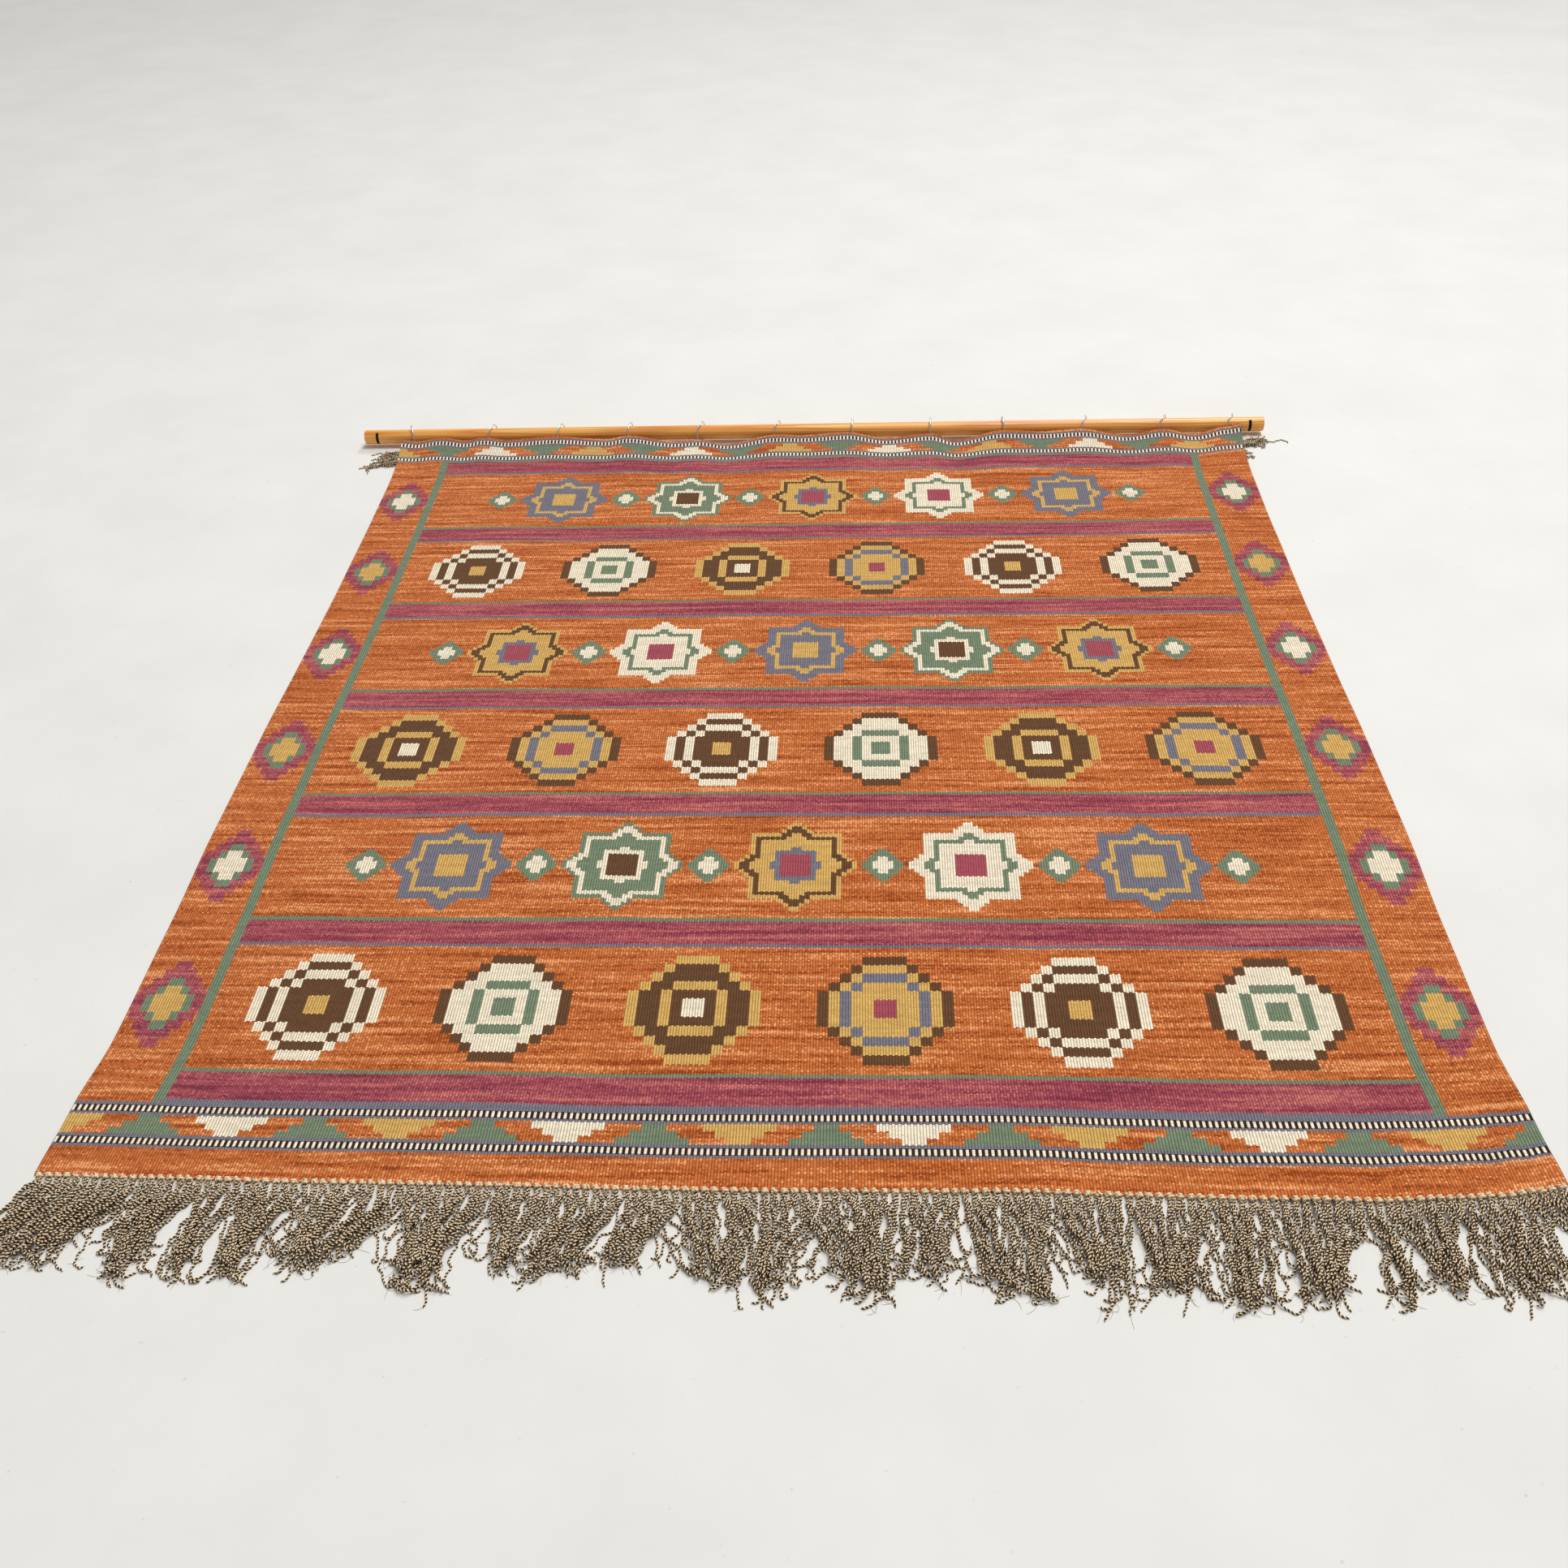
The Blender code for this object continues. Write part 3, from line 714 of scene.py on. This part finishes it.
def woolMaterial():
    material, tree, shader = newMaterial("wool_weave_look", Roughness=0.95, Specular_IOR_Level=0.10,
                                         Sheen_Weight=0.08, Sheen_Roughness=0.5)
    work = sums(tree)
    flat = addNode(tree, "ShaderNodeUVMap", uv_map="flat")
    apart = addNode(tree, "ShaderNodeSeparateXYZ", {"Vector": flat.outputs[0]})
    u, along = apart.outputs["X"], apart.outputs["Y"]

    # the wefts don't lie quite straight
    wobble = noise(tree, stretched(tree, work("MULTIPLY", u, 3.1), work("MULTIPLY", along, 2.2)), detail=2)
    v = work("ADD", along, work("MULTIPLY", work("SUBTRACT", wobble, 0.5), 0.009))

    # each look-up is made at the middle of one float of yarn, so colours change in the weave's own steps
    ribIndex = work("FLOOR", work("DIVIDE", u, wool["rib"]))
    odd = work("FLOORED_MODULO", ribIndex, 2)
    halfStep = work("MULTIPLY", odd, 0.5)
    weftIndex = work("FLOOR", work("ADD", work("DIVIDE", v, wool["weft"]), halfStep))
    ribU = work("MULTIPLY", work("ADD", ribIndex, 0.5), wool["rib"])
    ribV = work("MULTIPLY", work("SUBTRACT", work("ADD", weftIndex, 0.5), halfStep), wool["weft"])
    fromMiddle = work("ABSOLUTE", ribU)

    # yarn dyed unevenly: long streaks along the weft, and flecks
    longStreak = noise(tree, stretched(tree, work("MULTIPLY", u, 3.4), work("MULTIPLY", ribV, 95.0)), detail=3)
    fineStreak = noise(tree, stretched(tree, work("MULTIPLY", u, 9.0), work("MULTIPLY", ribV, 290.0)),
                       detail=2)
    cell = addNode(tree, "ShaderNodeTexWhiteNoise",
                   {"Vector": stretched(tree, ribIndex, weftIndex)}, noise_dimensions="2D").outputs["Value"]
    streak = work("ADD", work("MULTIPLY", longStreak, 0.60), work("MULTIPLY", fineStreak, 0.40))
    streak = work("ADD", streak, work("MULTIPLY", work("SUBTRACT", cell, 0.5), 0.10))

    orange = ramp(tree, streak, [(.38, wool["orangeDark"]), (.475, wool["orange"]), (.525, wool["orange"]),
                                 (.62, wool["orangePale"])])
    plum = ramp(tree, streak, [(.37, wool["plumDark"]), (.50, wool["plum"]), (.66, wool["plumPale"])])

    # where this float lies in the design: its row, its place in the row, its motif
    inField = work("SUBTRACT", ribV, wool["fieldFrom"])
    rowIndex = work("FLOOR", work("DIVIDE", inField, wool["rowPitch"]))
    inRow = work("FLOORED_MODULO", inField, wool["rowPitch"])
    rowOdd = work("FLOORED_MODULO", rowIndex, 2)
    rowMiddle = (wool["bandTall"] + wool["rowPitch"]) / 2
    pitch = wool["motifPitch"]
    shifted = work("ADD", ribU, work("MULTIPLY", rowOdd, pitch / 2))
    motifIndex = work("FLOOR", work("DIVIDE", shifted, pitch))
    x = work("ABSOLUTE", work("SUBTRACT", shifted, work("MULTIPLY", work("ADD", motifIndex, 0.5), pitch)))
    y = work("ABSOLUTE", work("SUBTRACT", inRow, rowMiddle))
    stepX = work("FLOOR", work("DIVIDE", x, 4 * wool["rib"]))
    stepY = work("FLOOR", work("DIVIDE", y, 0.0170))
    variant = work("FLOORED_MODULO", work("ADD", motifIndex, work("MULTIPLY", rowIndex, 3)), 4)

    c = wool
    lozengeLevel = work("MAXIMUM", work("SUBTRACT", work("ADD", stepX, stepY), 1), work("MAXIMUM", stepX, stepY))
    lozenge = stepRamp(tree, work("DIVIDE", work("ADD", work("MULTIPLY", variant, 8),
                                                 work("ADD", lozengeLevel, 0.5)), 32), [
        c["plum"], c["ochre"], c["ochre"], c["greyBlue"], c["ochre"], c["brown"], c["brown"], c["brown"],
        c["ochre"], c["brown"], c["brown"], c["cream"], c["brown"], c["cream"], c["cream"], c["cream"],
        c["green"], c["cream"], c["green"], c["cream"], c["cream"], c["brown"], c["brown"], c["brown"],
        c["cream"], c["brown"], c["ochre"], c["brown"], c["brown"], c["ochre"], c["ochre"], c["ochre"]])
    isLozenge = work("MULTIPLY", work("LESS_THAN", lozengeLevel, 5.5), work("LESS_THAN", rowOdd, 0.5))

    # an eight-pointed star is a stepped square laid over a stepped diamond
    middleX = work("ADD", work("FLOOR", work("DIVIDE", x, 2 * wool["rib"])), 0.5)
    middleY = work("ADD", work("FLOOR", work("DIVIDE", y, 0.0085)), 0.5)
    starPlace = work("MULTIPLY", 0.5, work("MINIMUM", work("ADD", middleX, middleY), work(
        "MULTIPLY", work("MAXIMUM", middleX, middleY), 1.414)))
    star = stepRamp(tree, work("DIVIDE", work("ADD", work("MULTIPLY", variant, 8), starPlace), 32), [
        c["plum"], c["plum"], c["cream"], c["cream"], c["green"], c["cream"], c["cream"], c["cream"],
        c["ochre"], c["ochre"], c["greyBlue"], c["greyBlue"], c["ochre"], c["greyBlue"], c["greyBlue"],
        c["greyBlue"],
        c["brown"], c["brown"], c["cream"], c["green"], c["green"], c["cream"], c["green"], c["green"],
        c["plum"], c["plum"], c["greyBlue"], c["ochre"], c["ochre"], c["brown"], c["ochre"], c["ochre"]])
    isStar = work("MULTIPLY", work("LESS_THAN", starPlace, 6.1), work("GREATER_THAN", rowOdd, 0.5))
    isStar = work("MULTIPLY", isStar, work("LESS_THAN", fromMiddle, 2.5 * pitch))

    # a small lozenge stands between two stars
    toBorder = work("SUBTRACT", pitch / 2, x)
    smallLevel = work("ADD", work("FLOOR", work("DIVIDE", toBorder, 2 * wool["rib"])),
                      work("FLOOR", work("DIVIDE", y, 0.0095)))
    small = blendColours(tree, work("LESS_THAN", smallLevel, 1.5), c["green"], c["cream"])
    isSmall = work("MULTIPLY", work("LESS_THAN", smallLevel, 3.5), work("MULTIPLY", rowOdd, work(
        "LESS_THAN", fromMiddle, 0.80)))

    colour = blendColours(tree, isLozenge, orange, lozenge)
    colour = blendColours(tree, isSmall, colour, small)
    colour = blendColours(tree, isStar, colour, star)

    # plum bands with a thin line along each side
    band = ramp(tree, work("DIVIDE", inRow, wool["bandTall"]),
                [(0.0, c["greyBlue"]), (.5, c["green"])], "CONSTANT")
    inBand = work("LESS_THAN", inRow, wool["bandTall"])
    bandMiddle = work("LESS_THAN", work("ABSOLUTE", work("SUBTRACT", inRow, wool["bandTall"] / 2)),
                      wool["bandTall"] / 2 - wool["lineTall"])
    band = blendColours(tree, bandMiddle, band, plum)
    colour = blendColours(tree, inBand, colour, band)

    # side borders: a chain of stepped lozenges, and a green stripe inside them
    borderX = work("ABSOLUTE", work("SUBTRACT", fromMiddle, (wool["stripe"][1] + 1.0) / 2))
    borderLevel = work("ADD", work("FLOOR", work("DIVIDE", borderX, 3 * wool["rib"])),
                       work("FLOOR", work("DIVIDE", y, 0.0170)))
    accent = blendColours(tree, rowOdd, c["ochre"], c["cream"])
    border = blendColours(tree, work("LESS_THAN", borderLevel, 4.5), orange, plum)
    border = blendColours(tree, work("LESS_THAN", borderLevel, 2.5), border, c["green"])
    border = blendColours(tree, work("LESS_THAN", borderLevel, 1.5), border, accent)
    colour = blendColours(tree, work("GREATER_THAN", fromMiddle, wool["stripe"][0]), colour, c["green"])
    colour = blendColours(tree, work("GREATER_THAN", fromMiddle, wool["stripe"][1]), colour, border)

    # both ends: plain orange, then two dotted lines with stepped triangles between them
    fromEnd = work("MINIMUM", ribV, work("SUBTRACT", wool["mirrorAt"], ribV))
    endLines = ramp(tree, work("DIVIDE", fromEnd, 0.2), [
        (0.0, (0, 0, 0, 1)), (.240, (1, 1, 1, 1)), (.350, (0, 0, 0, 1)), (.510, (1, 1, 1, 1)),
        (.620, (0, 0, 0, 1))], "CONSTANT")
    dots = blendColours(tree, odd, c["cream"], c["nearBlack"])
    onDots = work("MAXIMUM", work("LESS_THAN", work("ABSOLUTE", work("SUBTRACT", fromEnd, .059)), .0050),
                  work("LESS_THAN", work("ABSOLUTE", work("SUBTRACT", fromEnd, .113)), .0050))
    triangleCell = work("FLOOR", work("DIVIDE", ribU, 28 * wool["rib"]))
    triangleX = work("ABSOLUTE", work("SUBTRACT", ribU, work("MULTIPLY", work("ADD", triangleCell, 0.5),
                                                             28 * wool["rib"])))
    tier = work("FLOOR", work("DIVIDE", work("SUBTRACT", fromEnd, .070), .0107))
    upright = work("FLOORED_MODULO", triangleCell, 2)
    tier = work("ADD", work("MULTIPLY", tier, work("SUBTRACT", 1, upright)),
                work("MULTIPLY", work("SUBTRACT", 2, tier), upright))
    inTriangle = work("LESS_THAN", work("FLOOR", work("DIVIDE", triangleX, 4 * wool["rib"])),
                      work("SUBTRACT", 2.5, tier))
    triangle = stepRamp(tree, work("DIVIDE", work("ADD", work("FLOORED_MODULO", triangleCell, 4), .5), 4),
                        [c["green"], c["cream"], c["green"], c["ochre"]])
    ends = blendColours(tree, inTriangle, orange, triangle)
    onMotifs = work("LESS_THAN", work("ABSOLUTE", work("SUBTRACT", fromEnd, .086)), .016)
    ends = blendColours(tree, onMotifs, orange, ends)
    ends = blendColours(tree, endLines, ends, c["greyBlue"])
    ends = blendColours(tree, onDots, ends, dots)
    colour = blendColours(tree, work("LESS_THAN", fromEnd, wool["fieldFrom"]), colour, ends)

    # every yarn varies a little in tone, and painted shade darkens the grooves between ribs and between wefts
    ribWave = work("POWER", work("ABSOLUTE", work("SINE", work("MULTIPLY", u, math.pi / wool["rib"]))), 0.6)
    weftPlace = work("ADD", work("DIVIDE", v, wool["weft"]), halfStep)
    weftWave = work("POWER", work("ABSOLUTE", work("SINE", work("MULTIPLY", weftPlace, math.pi))), 0.7)
    relief = work("MULTIPLY", ribWave, work("ADD", 0.62, work("MULTIPLY", weftWave, 0.38)))
    # depth is painted groove shade, darkest where the rib and weft relief is low; the dotted lines get less of it,
    # and the mottle is the yarn's real tone
    depth = work("ADD", 0.50, work("MULTIPLY", relief, 0.66))
    depth = work("ADD", depth, work("MULTIPLY", work("SUBTRACT", 1.04, depth), work("MULTIPLY", onDots, 0.75)))
    mottle = noise(tree, stretched(tree, work("MULTIPLY", ribU, 22), work("MULTIPLY", ribV, 120), 4.0), detail=2)
    depth = work("MULTIPLY", depth, work("ADD", 0.80, work("MULTIPLY", mottle, 0.40)))
    uneven = work("ADD", 0.78, work("MULTIPLY", work("ADD", work("MULTIPLY", cell, 0.55), fineStreak), 0.38))
    # painted groove shade times the yarn's own uneven tone
    grooveShadeAndTone = work("MULTIPLY", depth, uneven)
    grooveShadeAndToneColour = addNode(tree, "ShaderNodeCombineColor", {"Red": grooveShadeAndTone, "Green": grooveShadeAndTone, "Blue": grooveShadeAndTone})
    colour = blendColours(tree, 1.0, colour, grooveShadeAndToneColour.outputs[0], "MULTIPLY")
    tree.links.new(colour, shader.inputs["Base Color"])

    fuzz = noise(tree, stretched(tree, work("MULTIPLY", u, 900), work("MULTIPLY", v, 900)), detail=2)
    height = work("ADD", relief, work("MULTIPLY", fuzz, 0.18))
    bump = addNode(tree, "ShaderNodeBump", {"Height": height, "Strength": 0.95, "Distance": 0.0013})
    tree.links.new(bump.outputs[0], shader.inputs["Normal"])
    return material


def plyGroup():
    # two plies wind round each other, one cream and one brown, each with some of the other's wool
    group = bpy.data.node_groups.new("two_ply_yarn", "ShaderNodeTree")
    for name in ("Around", "Along", "Turn Every", "Painted Light"):
        group.interface.new_socket(name=name, in_out="INPUT", socket_type="NodeSocketFloat")
    group.interface.new_socket(name="Colour", in_out="OUTPUT", socket_type="NodeSocketColor")
    group.interface.new_socket(name="Height", in_out="OUTPUT", socket_type="NodeSocketFloat")
    given = group.nodes.new("NodeGroupInput").outputs
    result = group.nodes.new("NodeGroupOutput").inputs
    work = sums(group)
    around, along = given["Around"], given["Along"]
    winding = work("ADD", around, work("DIVIDE", along, given["Turn Every"]))
    mixed = noise(group, stretched(group, work("MULTIPLY", around, 3), work("MULTIPLY", along, 300)), detail=3)
    patch = noise(group, stretched(group, 0.0, work("MULTIPLY", along, 45)), detail=2)
    wave = work("SINE", work("MULTIPLY", winding, 2 * math.pi))
    lean = work("ADD", work("MULTIPLY", work("SUBTRACT", mixed, 0.5), 1.2),
                work("MULTIPLY", work("SUBTRACT", patch, 0.5), 0.6))
    # the Paler input shifts the whole yarn paler, a painted highlight; only the knots use it
    place = work("ADD", work("MULTIPLY", wave, 0.5), work("ADD", work("ADD", lean, 0.5), given["Painted Light"]))
    colour = ramp(group, place, [(.08, tone(46, 30, 18)), (.42, tone(82, 57, 38)), (.54, tone(142, 106, 72)),
                                 (.65, tone(228, 198, 154)), (.92, tone(252, 232, 196))])
    group.links.new(colour, result["Colour"])
    height = work("ADD", work("POWER", work("ABSOLUTE", wave), 0.5), work("MULTIPLY", mixed, 0.4))
    group.links.new(height, result["Height"])
    return group


def yarnMaterial(name, group, paintedLight):
    material, tree, shader = newMaterial(name, Roughness=0.95, Specular_IOR_Level=0.10,
                                         Sheen_Weight=0.12, Sheen_Roughness=0.6)
    ply = addNode(tree, "ShaderNodeUVMap", uv_map="ply")
    apart = addNode(tree, "ShaderNodeSeparateXYZ", {"Vector": ply.outputs[0]})
    twist = tree.nodes.new("ShaderNodeGroup")
    twist.node_tree = group
    plug(tree, apart.outputs["X"], twist.inputs["Around"])
    plug(tree, apart.outputs["Y"], twist.inputs["Along"])
    plug(tree, fringeYarn["turnEvery"], twist.inputs["Turn Every"])
    plug(tree, paintedLight, twist.inputs["Painted Light"])
    tree.links.new(twist.outputs["Colour"], shader.inputs["Base Color"])
    bump = addNode(tree, "ShaderNodeBump", {"Height": twist.outputs["Height"], "Strength": 0.9,
                                            "Distance": 0.0007})
    tree.links.new(bump.outputs[0], shader.inputs["Normal"])
    return material


def pineMaterial():
    material, tree, shader = newMaterial("pine_look", Roughness=0.36, Specular_IOR_Level=0.5,
                                         Coat_Weight=0.12, Coat_Roughness=0.35)
    work = sums(tree)
    place = addNode(tree, "ShaderNodeTexCoord").outputs["Object"]
    apart = addNode(tree, "ShaderNodeSeparateXYZ", {"Vector": place})
    x, y, z = (apart.outputs[name] for name in "XYZ")
    # growth rings about a pith that runs beside the rod, not quite along it
    bend = noise(tree, stretched(tree, work("MULTIPLY", x, 1.3), 0.0), detail=2)
    offY = work("ADD", work("SUBTRACT", y, rod["forward"] + shiftY + .017),
                work("MULTIPLY", work("SUBTRACT", bend, 0.5), 0.020))
    offZ = work("ADD", work("ADD", z, .012), work("MULTIPLY", x, 0.004))
    fromPith = work("SQRT", work("ADD", work("MULTIPLY", offY, offY), work("MULTIPLY", offZ, offZ)))
    grain = noise(tree, stretched(tree, work("MULTIPLY", x, 6), work("MULTIPLY", y, 260),
                                  work("MULTIPLY", z, 260)), detail=3)
    rings = work("FRACT", work("ADD", work("DIVIDE", fromPith, .0026), work("MULTIPLY", grain, 0.35)))
    colour = ramp(tree, rings, [(0.0, tone(255, 206, 120)), (.50, tone(255, 182, 86)),
                                (.84, tone(238, 140, 58)), (1.0, tone(255, 190, 96))])
    redder = noise(tree, stretched(tree, work("MULTIPLY", x, 3.2), work("MULTIPLY", y, 30),
                                   work("MULTIPLY", z, 30)), detail=2)
    share = ramp(tree, redder, [(.52, (0, 0, 0, 1)), (.70, (.55, .55, .55, 1))])
    colour = blendColours(tree, share, colour, tone(196, 104, 44))
    # painted shade darkens the inside of the saw cuts, and the end faces are browner than the sides
    for at in rod["kerfsAt"]:
        fromCut = work("ABSOLUTE", work("SUBTRACT", x, at + shiftX))
        # painted shade inside each saw cut, set by position
        paintedCutShade = work("MULTIPLY", work("LESS_THAN", fromCut, rod["kerfWide"] / 2 + .0002),
                     work("LESS_THAN", y, rod["forward"] + shiftY - rod["radius"] + rod["kerfDeep"] + .0002))
        colour = blendColours(tree, paintedCutShade, colour, tone(58, 34, 20))
    fromMiddle = work("ABSOLUTE", work("SUBTRACT", x, (rod["from"] + rod["to"]) / 2 + shiftX))
    atEnd = work("GREATER_THAN", fromMiddle, (rod["to"] - rod["from"]) / 2 - .0006)
    colour = blendColours(tree, work("MULTIPLY", atEnd, 0.55), colour, tone(150, 92, 50))
    tree.links.new(colour, shader.inputs["Base Color"])
    bump = addNode(tree, "ShaderNodeBump", {"Height": grain, "Strength": 0.25, "Distance": 0.0004})
    tree.links.new(bump.outputs[0], shader.inputs["Normal"])
    return material


def wireMaterial():
    material, tree, shader = newMaterial("ring_wire_look", Metallic=1.0, Roughness=0.34)
    work = sums(tree)
    place = addNode(tree, "ShaderNodeTexCoord").outputs["Object"]
    dulled = noise(tree, place, scale=420.0, detail=3)
    colour = ramp(tree, dulled, [(.35, tone(214, 211, 204)), (.65, tone(248, 246, 240))])
    tree.links.new(colour, shader.inputs["Base Color"])
    rough = work("ADD", 0.30, work("MULTIPLY", dulled, 0.20))
    tree.links.new(rough, shader.inputs["Roughness"])
    return material


def threadMaterial():
    material, tree, shader = newMaterial("thread_look", Roughness=0.85, Specular_IOR_Level=0.2)
    place = addNode(tree, "ShaderNodeTexCoord").outputs["Object"]
    worn = noise(tree, place, scale=1500.0, detail=2)
    colour = ramp(tree, worn, [(.35, tone(150, 92, 54)), (.65, tone(206, 140, 92))])
    tree.links.new(colour, shader.inputs["Base Color"])
    bump = addNode(tree, "ShaderNodeBump", {"Height": worn, "Strength": 0.5, "Distance": 0.0003})
    tree.links.new(bump.outputs[0], shader.inputs["Normal"])
    return material


studio = {"floorPale": tone(240, 239, 236), "floorDull": tone(235, 234, 230), "behindCamera": 0.27, "farSide": 0.36,
          "key": 465.0, "keyAt": (2.0, 2.0, 8.6), "keySize": 3.4,
          "sun": 0.88, "sunFrom": (0.30, 0.66, 0.66), "sunSoft": 13}


def setStudio():
    startAfresh()
    bpy.ops.mesh.primitive_plane_add(size=40, location=(0, 4, 0))
    floor = bpy.context.object
    floor.name = "floor"
    material, tree, shader = newMaterial("floor_look", Roughness=0.75, Specular_IOR_Level=0.25)
    place = addNode(tree, "ShaderNodeTexCoord").outputs["Object"]
    cloudy = noise(tree, place, scale=3.5, detail=5, roughness=0.6)
    shades = ramp(tree, cloudy, [(.35, studio["floorDull"]), (.65, studio["floorPale"])])
    # a few scuffs and specks
    specks = ramp(tree, noise(tree, place, scale=85.0, detail=4), [(.70, (0, 0, 0, 1)), (.76, (.3, .3, .3, 1))])
    shades = blendColours(tree, specks, shades, tone(150, 146, 140))
    tree.links.new(shades, shader.inputs["Base Color"])
    floor.data.materials.append(material)

    world = bpy.data.worlds.new("studio")
    bpy.context.scene.world = world
    world.use_nodes = True
    background = world.node_tree.nodes["Background"]
    background.inputs["Color"].default_value = (1.0, 0.995, 0.98, 1.0)
    # the room is darker behind the camera
    toward = addNode(world.node_tree, "ShaderNodeTexCoord").outputs["Generated"]
    apart = addNode(world.node_tree, "ShaderNodeSeparateXYZ", {"Vector": toward})
    glow = addNode(world.node_tree, "ShaderNodeMapRange",
                   {"Value": apart.outputs["Y"], "From Min": -0.8, "From Max": 0.6,
                    "To Min": studio["behindCamera"], "To Max": studio["farSide"]})
    world.node_tree.links.new(glow.outputs[0], background.inputs["Strength"])

    lamp = bpy.data.lights.new("soft_window", "AREA")
    lamp.energy, lamp.size = studio["key"], studio["keySize"]
    lamp.color = (1.0, 0.985, 0.96)
    window = bpy.data.objects.new("soft_window", lamp)
    bpy.context.scene.collection.objects.link(window)
    window.location = studio["keyAt"]
    window.rotation_euler = Vector(studio["keyAt"]).to_track_quat("Z", "Y").to_euler()

    # low light from behind, so that the near edge and the fringe throw their shadows forward
    low = bpy.data.lights.new("low_light", "SUN")
    low.energy, low.angle = studio["sun"], math.radians(studio["sunSoft"])
    lowLight = bpy.data.objects.new("low_light", low)
    bpy.context.scene.collection.objects.link(lowLight)
    lowLight.rotation_euler = Vector(studio["sunFrom"]).to_track_quat("Z", "Y").to_euler()

    lens = bpy.data.cameras.new("camera")
    lens.lens, lens.sensor_width = 36 * 1745 / 1932, 36
    lens.clip_start, lens.clip_end = 0.05, 100
    camera = bpy.data.objects.new("camera", lens)
    bpy.context.scene.collection.objects.link(camera)
    across, upward = Vector((0.99862, 0.03863, -0.03550)), Vector((0.00174, 0.65188, 0.75832))
    backward = across.cross(upward).normalized()
    upward = backward.cross(across).normalized()
    turn = Matrix((across.normalized(), upward, backward)).transposed().to_4x4()
    camera.matrix_world = Matrix.Translation((0.102 + shiftX, -2.081 + shiftY, 1.594)) @ turn
    bpy.context.scene.camera = camera


setStudio()
print("studio set")
ply = plyGroup()
yarnLook = yarnMaterial("warp_yarn_look", ply, 0.0)
# the knots are the same yarn painted paler, a painted highlight for their lit tops
fringePieces = fringe(yarnLook, yarnMaterial("knot_yarn_painted_lit_look", ply, 0.62))
print("fringe laid:", [len(piece.data.polygons) for piece in fringePieces])
tufts = [cornerTuft("far_tuft_left", "corner_tuft_left", -1, leftTuft, yarnLook),
         cornerTuft("far_tuft_right", "corner_tuft_right", 1, rightTuft, yarnLook)]
print("far tufts laid")
woven = wovenCloth(woolMaterial())
print("cloth laid:", len(woven.data.polygons))
woodenRod(pineMaterial())
print("rod made")
wireRings(wireMaterial())
ringStitches(threadMaterial())
print("rings sewn on")
